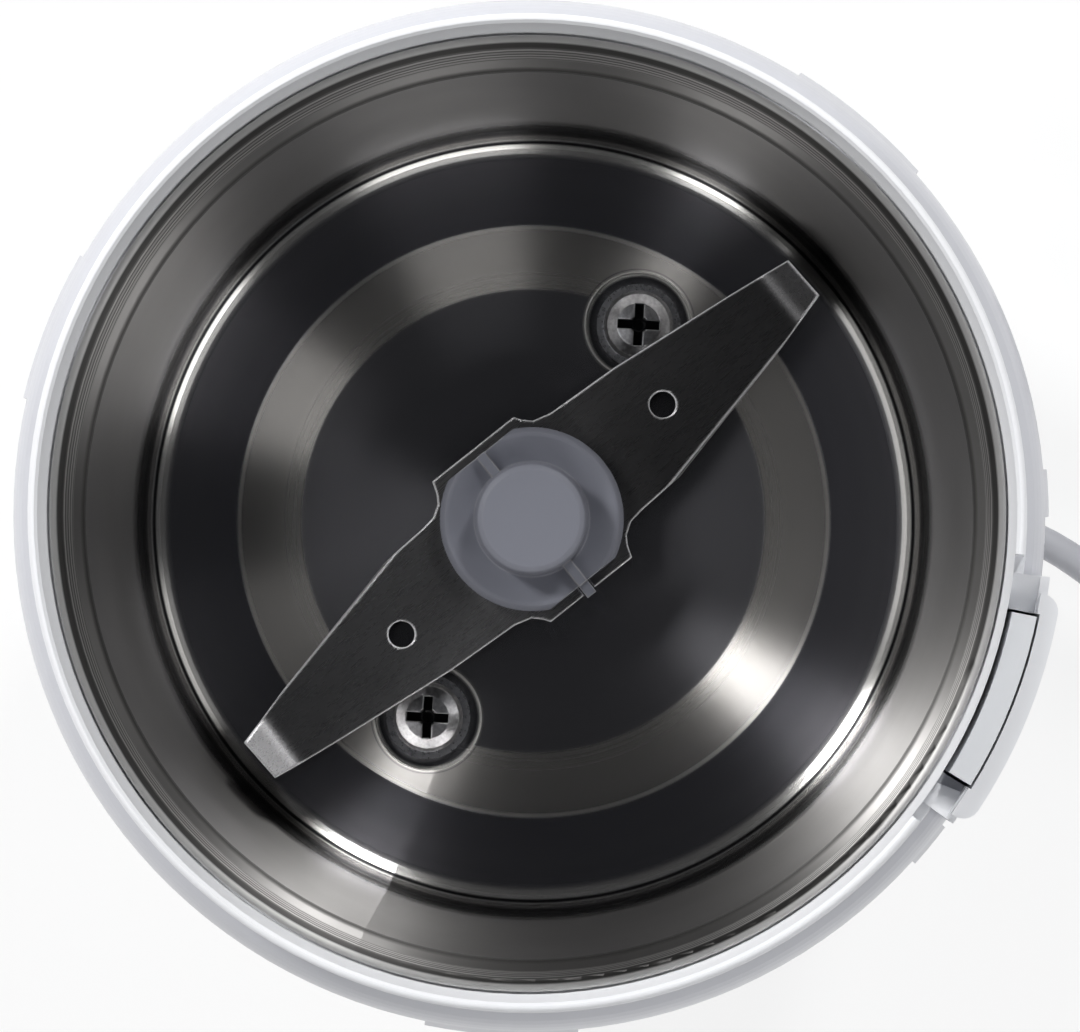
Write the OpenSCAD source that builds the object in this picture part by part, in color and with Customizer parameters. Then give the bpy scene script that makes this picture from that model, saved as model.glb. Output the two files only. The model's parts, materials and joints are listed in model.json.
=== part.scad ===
// Electric spice grinder: drive base with a steel bowl, two-arm blade and lid switch.
// Origin: centre of the base on the surface it stands on. +Z up, +Y towards the lid switch.

/* [Housing] */
// Widest outside diameter of the body
body_d = 90.2; // [89:0.1:97]
// Outside diameter at the foot of the housing
base_d = 86; // [85:0.5:90]
// Height from the surface to the top of the collar
body_h = 126; // [125:1:140]
// Wall of the housing and of the top ring's skirt
wall = 1.9; // [1.8:0.1:2.4]
// Thickness of the deck that carries the bowl and the motor
deck_t = 3; // [2.5:0.1:3.5]
// Height of the top ring above its joint with the housing
ring_h = 24; // [22:0.5:28]
// Outside diameter of the base screw posts
post_d = 7; // [6.5:0.1:8]

/* [Collar] */
// Outside diameter of the collar that the lid slips over
collar_d = 85; // [84.5:0.1:85.6]
// Wall of the collar beside the bowl's rim
collar_wall = 1.4; // [1.3:0.05:1.6]
// Height of the collar above the shoulder
collar_h = 7.5; // [7:0.1:9]
// Height of the rounded shoulder below the collar
shoulder_h = 6.5; // [5:0.1:8]
// How far the three lid lugs stand out of the shoulder
lug_out = 0.4; // [0.2:0.1:0.8]

/* [Bowl] */
// Depth of the bowl from its rim to the ring-shaped floor
bowl_depth = 42.4; // [38:0.2:43]
// Sheet thickness of the bowl
bowl_t = 0.6; // [0.5:0.05:0.8]
// Height of the raised middle of the floor
plateau_h = 3; // [2.4:0.1:3.4]
// Radius of the raised middle at its top
plateau_r = 21.5; // [21:0.1:23]
// Radius where the cone round the raised middle meets the floor
cone_r = 27.7; // [27:0.1:28.5]
// Radius of the bowl wall at the floor corner
bowl_foot_r = 36.4; // [36:0.1:37]
// Radius of the rounded floor corner
corner_r = 2.5; // [2:0.1:3]
// Depth of the bead in the wall below the rim
bead_drop = 11; // [9:0.5:14]
// Distance of the bowl screws from the axis
screw_at = 20.7; // [20.5:0.1:21.5]
// Inside radius of the wells that the screw heads sit in
well_r = 4.9; // [4.7:0.1:5.2]

/* [Blade] */
// Length of the blade from tip to tip
blade_l = 66.4; // [60:0.2:68]
// Thickness of the blade
blade_t = 1.5; // [1.2:0.1:1.8]
// Height of the blade above the raised floor
blade_lift = 5; // [4.5:0.1:6]
// Rise of each arm, in degrees
arm_rise = 3; // [0:0.5:5]
// Bend of the tips, in degrees
tip_bend = 30; // [15:1:40]
// Length of each bent tip, seen from above
tip_l = 2.7; // [2:0.1:4]
// Diameter of the hub cap
hub_d = 16.8; // [16:0.1:17.4]
// Width of the hub cap across its two flats
hub_flats = 15; // [14:0.1:15.5]
// Diameter of the raised disc in the middle of the hub
hub_disc_d = 10.2; // [9.5:0.1:11]
// Height of the hub cap above the blade
hub_h = 6.5; // [5.5:0.1:8]

/* [Motor] */
// Diameter of the motor shaft
shaft_d = 6; // [5.6:0.1:6.4]
// Diameter of the rotor's stack of sheets
rotor_d = 26.8; // [26:0.1:27.4]
// Air gap between rotor and poles
air_gap = 0.5; // [0.4:0.05:0.7]
// Height of the stack of sheets
stack_h = 25; // [20:0.5:25]
// Width of the stator along the poles
stator_w = 56; // [54:0.5:57]
// Width of the stator across the poles
stator_d = 46; // [45:0.5:47]
// Diameter of the commutator
comm_d = 17; // [16.4:0.1:17.6]
// Diameter of the cooling fan
fan_d = 33; // [30:0.5:34]
// Number of rotor slots and commutator bars
slots = 12; // [10:1:14]

/* [Lid switch] */
// Width of the push rod's tongue at the top
tongue_w = 15.5; // [14.5:0.1:16]
// Thickness of the push rod
rod_t = 2.15; // [1.9:0.05:2.3]
// Travel of the push rod when the lid is pressed home
rod_travel = 3.5; // [3:0.1:4]
// Width of the rod below the tongue
leg_w = 6; // [5:0.1:7]
// Width of the snap switch
switch_w = 27.8; // [26:0.1:28]
// Thickness of the snap switch
switch_d = 10.3; // [9.8:0.1:10.4]
// Height of the snap switch
switch_h = 15.9; // [15:0.1:16.5]

/* [Base and lead] */
// Height of the rubber feet under the base cover
foot_h = 3; // [2.5:0.1:3.6]
// Diameter of a rubber foot
foot_d = 9; // [8:0.1:10]
// Thickness of the base cover
cover_t = 2.6; // [2.2:0.1:3]
// Width of the flat two-core lead
cord_w = 5.4; // [5:0.1:5.6]
// Thickness of the flat two-core lead
cord_t = 3.2; // [3:0.1:3.4]
// Height of the lead where it leaves the housing
cord_z = 10.6; // [10.4:0.1:11.5]

/* [Hidden] */
$fn = 96;

// Clearances
eps = 0.01;
fit = 0.1;
run = 0.05;
snug = 0.02;

// Body
body_r = body_d / 2;
base_r = base_d / 2;
collar_r = collar_d / 2;
collar_in = collar_r - collar_wall;
skirt_in = body_r - wall;
part_z = body_h - ring_h;
cover_z = foot_h + cover_t;
shoulder_top = body_h - collar_h;
shoulder_low = shoulder_top - shoulder_h;
taper_top = part_z - 6;
housing_low = foot_h + 0.4;
spigot_h = 4;
spigot_t = 1.3;

// Bowl
rim_drop = 2.6;
rim_gap = 0.2;
roll_r = 0.55;
rim_z = body_h - rim_drop;
bowl_top_r = collar_in - rim_gap - 2 * roll_r;
bead_r = bowl_top_r - 0.9;
bead_z = rim_z - bead_drop;
floor_z = rim_z - bowl_depth;
plateau_z = floor_z + plateau_h;
rim_seat = rim_z - 2 * roll_r;
bowl_hole_r = 6.2;

// Deck and fastenings of bowl and motor
gasket_t = 2.9;
damper_t = 2;
deck_top = floor_z - bowl_t - gasket_t;
deck_low = deck_top - deck_t;
deck_hole_r = 15;
screw_r = 1.75;
screw_hole_r = 1.9;
head_r = 3.25;
head_h = 2.3;
washer_t = 0.8;
washer_r = 3.9;
bowl_screw_l = 12;
screw_turn = -6.7;
gasket_in = 29;
gasket_out = 33;

// Motor
shaft_r = shaft_d / 2;
bracket_t = 3;
bracket_top = deck_low - damper_t;
bracket_low = bracket_top - bracket_t;
stack_top = bracket_low - 13;
stack_low = stack_top - stack_h;
rotor_r = rotor_d / 2;
bore_r = rotor_r + air_gap;
comm_r = comm_d / 2;
comm_top = stack_low - 6.5;
comm_low = comm_top - 10.5;
lower_top = comm_low - 1.1;
lower_low = lower_top - bracket_t;
bush_r = 6.2;
bush_l = 6;
pot_r = bush_r + 1.6;
upper_bush_z = bracket_low + 2.2;
lower_bush_z = lower_top - bush_l - 0.5;
bolt_y = stator_d / 2 - 2.75;
bolt_r = 1.5;
crown_h = 5.3;
coil_out = 5.3;
pole_w = 14;
yoke_t = 5.5;
coil_x = stator_w / 2 - yoke_t - 0.2;
coil_t = 4.2;
brush_w = 5;
brush_h = 4.4;
brush_l = 10;
brush_z = (comm_top + comm_low) / 2 - 0.4;
holder_t = 1;
holder_end = 26.5;
fan_z = stack_top + crown_h + coil_out / 2 - 0.6;
fan_h = 4.4;
fan_r = fan_d / 2;

// Blade and hub
blade_turn = 150.1;
blade_z = plateau_z + blade_lift;
hub_low = plateau_z + 2;
blade_hole_r = 5;
insert_r = 4;
thread_r = 2.5;
ear_half = 8.42;
hub_r = hub_d / 2;
hub_top = blade_z + blade_t + hub_h;
cap_h = 2.6;

// Push rod channel, from the collar outwards
slot_in = collar_in + 0.6;
rod_in = slot_in + 0.7;
rod_out = rod_in + rod_t;
channel_out = rod_out + 0.2;
boss_wall = 1.5;
boss_r = max(channel_out + boss_wall, body_r + 0.8);
boss_turn = -0.6;
tongue_half = asin(tongue_w / 2 / rod_out);
slot_half = tongue_half + 0.35;
boss_half = slot_half + 2.85;
boss_corner = 1.5;
pad_top = body_h - 4.5;
collar_flare = 0.55;
recess_z = body_h - 6.4;
rod_top = pad_top - 0.2;
tongue_h = 22;
mouth_half = slot_half + 6.3;

// Snap switch under the rod
carrier_t = 2;
carrier_y = stator_d / 2 + 2.4;
switch_y = carrier_y + carrier_t + fit;
carrier_w = 30;
carrier_hole_x = 10;
carrier_hole_y = switch_y + 4.5;
boss_h = 4;
flange_z = deck_low - boss_h;
switch_top = flange_z - 16.4;
switch_low = switch_top - switch_h;
lever_rise = rod_travel * 1.2 + 0.4;
lever_z = switch_top + lever_rise;
lever_t = 0.5;
lever_gap = 0.3;
foot_z = lever_z + lever_t + lever_gap;
foot_t = 3;
nub_r = 2.2;
nub_l = 4.6;
foot_low = foot_z + nub_r;
boss_low = foot_z - 32;
pivot_x = -switch_w / 2 + 3;
press_arm = 20;
press_x = pivot_x + press_arm;
plunger_x = pivot_x + 8;
foot_in = switch_y + 3;
spring_y = rod_in - 0.9;
spring_r = 1.9;
spring_wire = 0.35;
spring_low = foot_low - 13;
pin_r = 1.2;
switch_hole_r = 1.55;
switch_pitch = switch_w - 5.6;

// Base
cover_r = base_r - wall - 0.3;
post_at = base_r - 6.6;
post_turns = [45, 165, 285];
post_h = 18;
base_screw_r = 1.5;
foot_at = 34;
foot_turns = [0, 90, 180, 270];
stem_r = 2.4;

// Lead
relief_x = -18.9;
relief_out = 46.7;
relief_in = 33;
relief_r = 4.2;
clamp_y = 22.9;
lead_end = 15.5;
relief_barrel = 6.5;

// Route of the free lead, points in millimetres
cord_route = [[-18.9, 46.7, 10.6], [-18.87, 48.6, 10.58], [-18.69, 50.8, 10.44], [-18.31, 53.2, 10.15],
  [-17.65, 56, 9.62], [-16.78, 59.5, 8.67], [-15.65, 64, 7.15], [-14.28, 69.5, 5.28], [-12.65, 76, 3.46],
  [-10.9, 83, 2.72]];
coil_centre = [-49.23, 92.6];
coil_in = 24.2;
coil_rim = 41.2;
tail_route = [[-24.13, 86.3, 2.7], [-23.33, 91.2, 2.9], [-23.53, 96.1, 3.7], [-24.63, 100.8, 5.1],
  [-26.63, 105.3, 6.7], [-29.43, 109.3, 8.1], [-34.23, 114.9, 9.5], [-38.93, 120.5, 10.3],
  [-44.93, 125.7, 10.9], [-52.43, 129.6, 11.4], [-60.83, 131.8, 11.7], [-69.13, 131.8, 11.9],
  [-76.93, 128.9, 11.9], [-83.33, 123.6, 11.9], [-87.43, 116.3, 11.9], [-88.93, 108.1, 11.9],
  [-87.43, 99.9, 11.9], [-83.33, 92.7, 11.9]];
plug_nose = [-83.33, 92.7, 11.9];
plug_turn = -50;
plug_w = 24;
plug_t = 13;
plug_l = 24;
plug_nose_l = 10;
pin_l = 16;
pin_pitch = 12.7;

// ---------------------------------------------------------------- helpers

// A ring of rectangular section
module ring(r_out, r_in, h) {
  difference() {
    cylinder(r = r_out, h = h);
    translate([0, 0, -eps]) cylinder(r = r_in, h = h + 2 * eps);
  }
}

// A sector of a ring about the axis, centred on +Y
module sector(r_in, r_out, half, z_low, z_high) {
  translate([0, 0, z_low]) rotate([0, 0, 90 - half]) rotate_extrude(angle = 2 * half)
    translate([r_in, 0]) square([r_out - r_in, z_high - z_low]);
}

// Copies at equal or listed turns about the axis
module at_turns(turns, r) {
  for (a = turns) rotate([0, 0, a]) translate([r, 0, 0]) children();
}

// Places a copy at each bowl screw
module at_bowl_screws() {
  at_turns([screw_turn, screw_turn + 180], screw_at) children();
}

// A rectangle with round corners, centred
module round_rect(w, d, r) {
  square([w - 2 * r, d], center = true);
  square([w, d - 2 * r], center = true);
  for (x = [-1, 1], y = [-1, 1]) translate([x * (w / 2 - r), y * (d / 2 - r)]) circle(r = r, $fn = 32);
}

// A pan head screw with a cross recess: head on z = 0, shank downwards
module pan_screw(r, l, hr, hh) {
  difference() {
    union() {
      rotate_extrude() polygon([[0, 0], [hr, 0], [hr, hh * 0.35], [hr * 0.9, hh * 0.72],
        [hr * 0.62, hh * 0.94], [hr * 0.3, hh], [0, hh]]);
      translate([0, 0, -l]) cylinder(r = r, h = l + eps);
    }
    for (a = [0, 90]) rotate([0, 0, a]) translate([-hr * 0.6, -hr * 0.13, hh * 0.45])
      cube([hr * 1.2, hr * 0.26, hh]);
    translate([0, 0, hh * 0.3]) cylinder(r1 = hr * 0.16, r2 = hr * 0.3, h = hh);
  }
}

// Points of an arc in the r-z plane
function arc(c, r, from, to, n) = [for (i = [0:n]) let (a = from + (to - from) * i / n)
  [c[0] + r * cos(a), c[1] + r * sin(a)]];

function unit(v) = v / norm(v);

function tangent(path, i) = unit(path[min(i + 1, len(path) - 1)] - path[max(i - 1, 0)]);

// Sweeps a section along a path; its first axis lies across the path and its second is nearest to ref
module sweep(path, section, ref = [0, 0, 1]) {
  n = len(path);
  m = len(section);
  points = [for (i = [0:n - 1]) let (t = tangent(path, i), s = unit(cross(ref, t)), u = cross(t, s))
    for (p = section) path[i] + p[0] * s + p[1] * u];
  walls = [for (i = [0:n - 2], j = [0:m - 1]) let (a = i * m + j, b = i * m + (j + 1) % m)
    each [[a, b + m, b], [a, a + m, b + m]]];
  start = [for (j = [1:m - 2]) [0, j, j + 1]];
  finish = [for (j = [1:m - 2]) [(n - 1) * m, (n - 1) * m + j + 1, (n - 1) * m + j]];
  polyhedron(points, concat(start, walls, finish), convexity = 10);
}

// Section of the flat lead, standing on its edge
cord_section = [for (i = [0:9]) let (a = 36 * i + 18, c = cos(a), s = sin(a))
  [c * cord_t / 2 * 1.02, s * cord_t / 2 + sign(s) * (cord_w - cord_t) / 2]];

function round_section(r, n) = [for (i = [0:n - 1]) [r * cos(360 * i / n), r * sin(360 * i / n)]];

// A coil spring about +Z from z = 0
module coil_spring(r, wire, h, turns) {
  steps = turns * 12;
  path = [for (i = [0:steps]) let (a = 360 * i / 12)
    [r * cos(a), r * sin(a), wire + (h - 2 * wire) * i / steps]];
  sweep(path, round_section(wire, 5));
}

// ---------------------------------------------------------------- housing

// Outside of the tapered housing wall at a height
function housing_r(z) = base_r + (body_r - base_r) * min(1, (z - housing_low) / (taper_top - housing_low));

module outer_housing() {
  color("gainsboro") difference() {
    union() {
      difference() {
        union() {
          rotate_extrude() polygon([[0, housing_low], [base_r - 0.8, housing_low],
            [housing_r(housing_low + 0.8), housing_low + 0.8], [body_r, taper_top],
            [body_r, part_z + spigot_h], [0, part_z + spigot_h]]);
          switch_boss();
        }
        housing_cavity();
        translate([0, 0, part_z]) ring(boss_r + 2, skirt_in - fit, spigot_h + 2);
      }
      deck();
      channel_wall();
      base_posts();
      spring_seat();
    }
    rod_channel(deck_low - 2, part_z + spigot_h + 1);
    sector(slot_in - 4, channel_out, slot_half, spring_low, deck_low - 1.7);
    base_post_holes();
    relief_hole();
  }
}

// Outline of the boss over the push rod, with round outer corners
function boss_outline(half, r_in, r_out, c) = let (turn = half - asin(c / (r_out - c))) concat(
  [for (a = [-half:half / 6:half + eps]) r_in * [-sin(a), cos(a)]],
  [for (b = [90:-18:eps]) (r_out - c) * [-sin(turn), cos(turn)] + c * [-sin(turn + b), cos(turn + b)]],
  [for (a = [turn:-turn / 6:-turn - eps]) r_out * [-sin(a), cos(a)]],
  [for (b = [18:18:90]) (r_out - c) * [sin(turn), cos(turn)] + c * [sin(turn + b), cos(turn + b)]]);

module boss_prism(r_in, z_low, z_high) {
  translate([0, 0, z_low]) rotate([0, 0, boss_turn]) linear_extrude(z_high - z_low)
    polygon(boss_outline(boss_half, r_in, boss_r, boss_corner));
}

// The boss that stands out of the rear wall over the push rod
module switch_boss() {
  intersection() {
    boss_prism(body_r - wall * 0.7, boss_low, part_z + 1);
    rotate_extrude() polygon([[0, boss_low - 1], [housing_r(boss_low) - 0.7, boss_low - 1],
      [boss_r + 1, boss_low + 13], [boss_r + 1, part_z + 2], [0, part_z + 2]]);
  }
}

module housing_cavity() {
  rotate_extrude() polygon([[0, 0], [base_r - wall, 0], [base_r - wall, cover_z + 1], [skirt_in, taper_top],
    [skirt_in - 0.9, part_z - 4], [skirt_in - fit - spigot_t, part_z - 1.5],
    [skirt_in - fit - spigot_t, part_z + spigot_h + 1], [0, part_z + spigot_h + 1]]);
}

// The deck that the bowl and the motor are clamped to
module deck() {
  difference() {
    union() {
      translate([0, 0, deck_low]) cylinder(r = housing_r(deck_low) - wall / 2, h = deck_t);
      translate([0, 0, deck_top - eps]) ring(gasket_in - fit, gasket_in - 1.3, 1);
      for (x = [-1, 1]) translate([x * carrier_hole_x, carrier_hole_y, flange_z])
        cylinder(r = 3.2, h = boss_h + eps);
      for (a = [0:60:300]) rotate([0, 0, a + 20]) translate([deck_hole_r + 2, -0.8, deck_low - 1.5])
        cube([housing_r(deck_low) - wall / 2 - deck_hole_r - 2, 1.6, 2]);
    }
    translate([0, 0, deck_low - 3]) cylinder(r = deck_hole_r, h = deck_t + 4);
    at_bowl_screws() translate([0, 0, deck_low - 3]) cylinder(r = screw_hole_r, h = deck_t + 6);
    for (x = [-1, 1]) translate([x * carrier_hole_x, carrier_hole_y, flange_z - eps])
      cylinder(r = switch_hole_r, h = boss_h + deck_t - 0.6);
  }
}

// Inner wall of the rod's channel, beside the bowl
module channel_wall() {
  sector(slot_in - 1.3, slot_in + 0.4, slot_half + 2, deck_top - eps, part_z - 2);
  for (a = [-1, 1]) rotate([0, 0, a * (slot_half + 0.8)])
    translate([-0.8, slot_in - 1.3, deck_top - eps]) cube([1.6, body_r - slot_in, part_z - 2 - deck_top]);
}

// Ledge under the rod's return spring, with a gusset down the wall
module spring_seat() {
  seat_in = switch_y + switch_d + 0.8;
  seat_out = housing_r(spring_low - 8) - wall / 2;
  translate([-3, 0, 0]) rotate([90, 0, 90]) linear_extrude(6) polygon([[seat_in, spring_low],
    [seat_in, spring_low - 2.2], [seat_out, spring_low - 8], [seat_out, spring_low]]);
}

module rod_channel(z_low, z_high) {
  sector(slot_in, channel_out, slot_half, z_low, z_high);
}

module base_posts() {
  at_turns(post_turns, post_at) {
    translate([0, 0, cover_z]) cylinder(d = post_d, h = post_h);
    translate([0, -1, cover_z]) cube([base_r - wall / 2 - post_at, 2, post_h]);
  }
}

module base_post_holes() {
  at_turns(post_turns, post_at) translate([0, 0, cover_z - eps]) cylinder(r = base_screw_r + snug, h = 13);
}

// The round hole in the rear wall that the strain relief snaps into
module relief_hole() {
  translate([relief_x, relief_in - 0.4, cord_z]) rotate([-90, 0, 0]) cylinder(r = relief_r + fit, h = 12);
}

// ---------------------------------------------------------------- top ring

module top_collar() {
  color("white") difference() {
    union() {
      difference() {
        union() {
          collar_shell();
          lid_lugs();
          lid_stops();
          boss_prism(collar_r - 0.6, part_z - 1, recess_z - 0.3);
        }
        sector(slot_in - 0.08, body_r + 8, mouth_half, recess_z, body_h + 1);
        translate([0, 0, part_z - 3]) cylinder(r = boss_r + 2, h = 3);
        translate([0, 0, part_z - 1]) cylinder(r = skirt_in - 0.05, h = spigot_h + 1.4);
      }
      boss_prism(channel_out - 0.25, shoulder_low, pad_top);
      sector(slot_in - 0.2, channel_out + 0.4, slot_half + 4.2, shoulder_low + 1, recess_z + 1.2);
    }
    rod_channel(part_z - 1, body_h);
    slot_funnels();
  }
}

// The shell of revolution: skirt, rounded shoulder, collar and seat for the bowl's rim
module collar_shell() {
  rotate_extrude() polygon(concat([[skirt_in, part_z - 1], [body_r, part_z - 1]],
    [for (a = [0:10:70]) [collar_r + (body_r - collar_r) * cos(a), shoulder_low + shoulder_h * sin(a)]],
    [[collar_r + collar_flare, shoulder_top - 0.02], [collar_r, pad_top + 0.3], [collar_r, body_h - 0.8]],
    arc([collar_r - 0.5, body_h - 0.5], 0.5, 20, 100, 5),
    [[collar_in + 0.55, body_h - 0.25], [collar_in, rim_z + 0.3], [collar_in, rim_seat],
    [bowl_top_r + bowl_t + fit, rim_seat], [bowl_top_r + bowl_t + fit, rim_seat - 1.8],
    [skirt_in - 0.85, shoulder_low], [skirt_in, shoulder_low - 2]]));
}

// Three shallow lugs on the shoulder that turn under the lid
module lid_lugs() {
  for (a = [18.5, 161.5, 270]) rotate([0, 0, a - 8.5]) rotate_extrude(angle = 17)
    polygon([[body_r - 1, shoulder_low - 5], [body_r - 0.2, shoulder_low - 5],
      [body_r + lug_out, shoulder_low - 4],
      [body_r + lug_out, shoulder_low], [body_r - 0.6, shoulder_low + shoulder_h * 0.55],
      [body_r - 2.4, shoulder_low + shoulder_h * 0.55]]);
}

// Two short stops beside the boss, which end the lid's turn
module lid_stops() {
  for (a = [72.1, 114]) rotate([0, 0, a - 2.6]) rotate_extrude(angle = 5.2)
    polygon([[body_r - 1, shoulder_low - 5.5], [body_r - 0.2, shoulder_low - 5.5],
      [body_r + lug_out, shoulder_low - 4.5], [body_r + lug_out, shoulder_low - 0.5],
      [body_r - 0.4, shoulder_low + shoulder_h * 0.4],
      [body_r - 2, shoulder_low + shoulder_h * 0.4]]);
}

// Slopes at both ends of the slot, which guide the lid's tab in, and a pocket at one end of the tongue
module slot_funnels() {
  end_x = slot_in * sin(slot_half);
  far_x = end_x + 3.8;
  top = recess_z + 5;
  intersection() {
    sector(slot_in + 0.3, channel_out - 0.4, slot_half + 9, recess_z - 3, top - 1);
    translate([0, boss_r + 2, 0]) rotate([90, 0, 0]) linear_extrude(10) union() {
      polygon([[-end_x + 0.6, recess_z - 1.2], [-far_x, recess_z + 1.35], [-far_x, top], [-end_x + 0.6, top]]);
      polygon([[end_x - 0.6, recess_z - 2.2], [end_x + 1.1, recess_z - 2.2], [end_x + 1.1, recess_z - 0.8],
        [far_x, recess_z + 1.35], [far_x, top], [end_x - 0.6, top]]);
    }
  }
}

// ---------------------------------------------------------------- bowl

bowl_inner = concat([[bowl_hole_r, plateau_z], [plateau_r, plateau_z], [cone_r, floor_z]],
  arc([bowl_foot_r - corner_r, floor_z + corner_r], corner_r, -90, 0, 8),
  [[bowl_foot_r + 0.25, floor_z + corner_r + 0.25], [bead_r, bead_z], [bowl_top_r, bead_z + 1],
  [bowl_top_r, rim_z - roll_r]]);
bowl_outer = concat([[bowl_hole_r, plateau_z - bowl_t], [plateau_r - 0.15, plateau_z - bowl_t],
  [cone_r - 0.15, floor_z - bowl_t]],
  arc([bowl_foot_r - corner_r, floor_z + corner_r], corner_r + bowl_t, -90, 0, 8),
  [[bowl_foot_r + 0.25 + bowl_t, floor_z + corner_r + 0.25], [bead_r + bowl_t, bead_z],
  [bowl_top_r + bowl_t, bead_z + 1], [bowl_top_r + bowl_t, rim_z - roll_r]]);

module grinding_bowl() {
  color("silver") difference() {
    union() {
      rotate_extrude() union() {
        polygon(concat(bowl_inner, [for (i = [len(bowl_outer) - 1:-1:0]) bowl_outer[i]]));
        translate([bowl_top_r + roll_r, rim_z - roll_r]) circle(r = roll_r, $fn = 24);
      }
      intersection() {
        at_bowl_screws() translate([0, 0, floor_z - bowl_t]) cylinder(r = well_r + bowl_t, h = plateau_h + 1);
        rotate_extrude() polygon([[0, floor_z - bowl_t], [cone_r, floor_z - bowl_t], [cone_r, floor_z],
          [plateau_r, plateau_z], [0, plateau_z]]);
      }
    }
    at_bowl_screws() translate([0, 0, floor_z]) cylinder(r = well_r, h = plateau_h + 1);
    at_bowl_screws() translate([0, 0, floor_z - 2]) cylinder(r = screw_hole_r, h = 4);
  }
}

module bowl_gasket() {
  color("dimgray") translate([0, 0, deck_top]) ring(gasket_out, gasket_in, gasket_t);
}

module bowl_grommets() {
  color("dimgray") at_bowl_screws() translate([0, 0, deck_top]) ring(4.6, screw_hole_r, gasket_t);
}

module bowl_screws() {
  color("silver") at_bowl_screws() translate([0, 0, floor_z + washer_t]) rotate([0, 0, 25])
    pan_screw(screw_r, bowl_screw_l, head_r, head_h);
}

module screw_washers() {
  color("darkgray") at_bowl_screws() translate([0, 0, floor_z]) ring(washer_r, screw_hole_r, washer_t);
}

// Lip seal clipped into the middle hole of the bowl
module shaft_seal() {
  color("dimgray") rotate_extrude()
    polygon([[shaft_r + run, plateau_z - 2.2], [bowl_hole_r + 1.4, plateau_z - 1.8],
    [bowl_hole_r + 1.4, plateau_z - bowl_t], [bowl_hole_r - run, plateau_z - bowl_t],
    [bowl_hole_r - run, plateau_z], [bowl_hole_r + 1.4, plateau_z], [bowl_hole_r + 1, plateau_z + 0.7],
    [shaft_r + 1.4, plateau_z + 0.9], [shaft_r + 0.6, plateau_z + 1.6], [shaft_r + run, plateau_z + 1.6]]);
}

// ---------------------------------------------------------------- blade and hub

tip_x = blade_l / 2;
bend_x = tip_x - tip_l;
arm_outline = [[-5, ear_half], [4.5, ear_half], [5, 7.7], [5.7, 7.05], [7.3, 6.6], [14.5, 6.2], [26.7, 4.8],
  [bend_x, 4.3], [tip_x - 0.2, 3.9], [tip_x, -0.4], [27.1, -2.1], [13, -5.35], [8.4, -5.6], [7, -5.8],
  [5.9, -6.5], [5.4, -7.3]];

// Height of the underside of an arm above the flat middle of the blade, its bend rounded over bend_w
bend_w = 1.8;
bend_k = tan(tip_bend) - tan(arm_rise);
rise_x = hub_r + 0.15;
function arm_z(x) = x < rise_x ? 0 : (x - rise_x) * tan(arm_rise) + (x < bend_x - bend_w / 2 ? 0
  : x < bend_x + bend_w / 2 ? bend_k * pow(x - bend_x + bend_w / 2, 2) / (2 * bend_w) : bend_k * (x - bend_x));

arm_steps = concat([rise_x], [for (i = [0:5]) bend_x + bend_w * (i / 5 - 0.5)], [tip_x]);
arm_half = [for (x = arm_steps) [x, arm_z(x)]];
arm_top = [for (i = [len(arm_steps) - 1:-1:0]) [arm_steps[i], arm_z(arm_steps[i]) + blade_t]];
arm_side = concat(arm_half, arm_top,
  [for (i = [0:len(arm_steps) - 1]) [-arm_steps[i], arm_z(arm_steps[i]) + blade_t]],
  [for (i = [len(arm_steps) - 1:-1:0]) [-arm_steps[i], arm_z(arm_steps[i])]]);

// Two-arm blade: plan outline cut through a bent strip, then ground on its leading edges
module blade() {
  color("silver") translate([0, 0, blade_z]) rotate([0, 0, blade_turn]) difference() {
    intersection() {
      linear_extrude(20) polygon(concat(arm_outline, [for (p = arm_outline) -p]));
      rotate([90, 0, 0]) translate([0, 0, -15]) linear_extrude(30) polygon(arm_side);
    }
    translate([0, 0, -1]) cylinder(r = blade_hole_r, h = 4);
    for (a = [0, 180]) rotate([0, 0, a]) {
      translate([15.9, 0.78, -1]) cylinder(r = 1.2, h = 6, $fn = 48);
      blade_grind();
    }
    translate([-0.6, -ear_half - 1, -1]) cube([1.2, ear_half + 1.5 - hub_flats / 2, 4]);
  }
}

// Wedge that grinds the leading edge of one arm down to a cutting edge
module blade_grind() {
  lead_turn = atan2(-2.1 + 5.35, 27.1 - 13);
  translate([8.4, -5.75, blade_t * 0.45]) rotate([0, -arm_rise, 0]) rotate([0, 0, lead_turn - 0.6])
    rotate([28, 0, 0]) translate([0, -6, 0]) cube([24, 6, 6]);
}

// Moulded hub: cap with two flats above the blade, sleeve below it
module blade_hub() {
  cap_z = blade_z + blade_t;
  color("slategray") difference() {
    union() {
      translate([0, 0, hub_low]) cylinder(r1 = 6.4, r2 = 6.9, h = blade_z - hub_low);
      translate([0, 0, blade_z - eps]) cylinder(r = blade_hole_r - run, h = blade_t + 2 * eps);
      rotate([0, 0, blade_turn]) intersection() {
        translate([0, 0, cap_z]) hub_cap();
        translate([-hub_r, -hub_flats / 2, cap_z]) cube([hub_d, hub_flats, hub_h]);
      }
      rotate([0, 0, blade_turn]) for (a = [0, 180]) rotate([0, 0, a])
        translate([-0.45, hub_disc_d / 2 - 0.3, cap_z + 1])
          cube([0.9, (hub_flats - hub_disc_d) / 2 + 0.3, 2.4]);
      rotate([0, 0, blade_turn]) hub_key();
    }
    translate([0, 0, hub_low - eps]) cylinder(r = insert_r + snug, h = hub_top - 1.5 - hub_low);
  }
}

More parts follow.
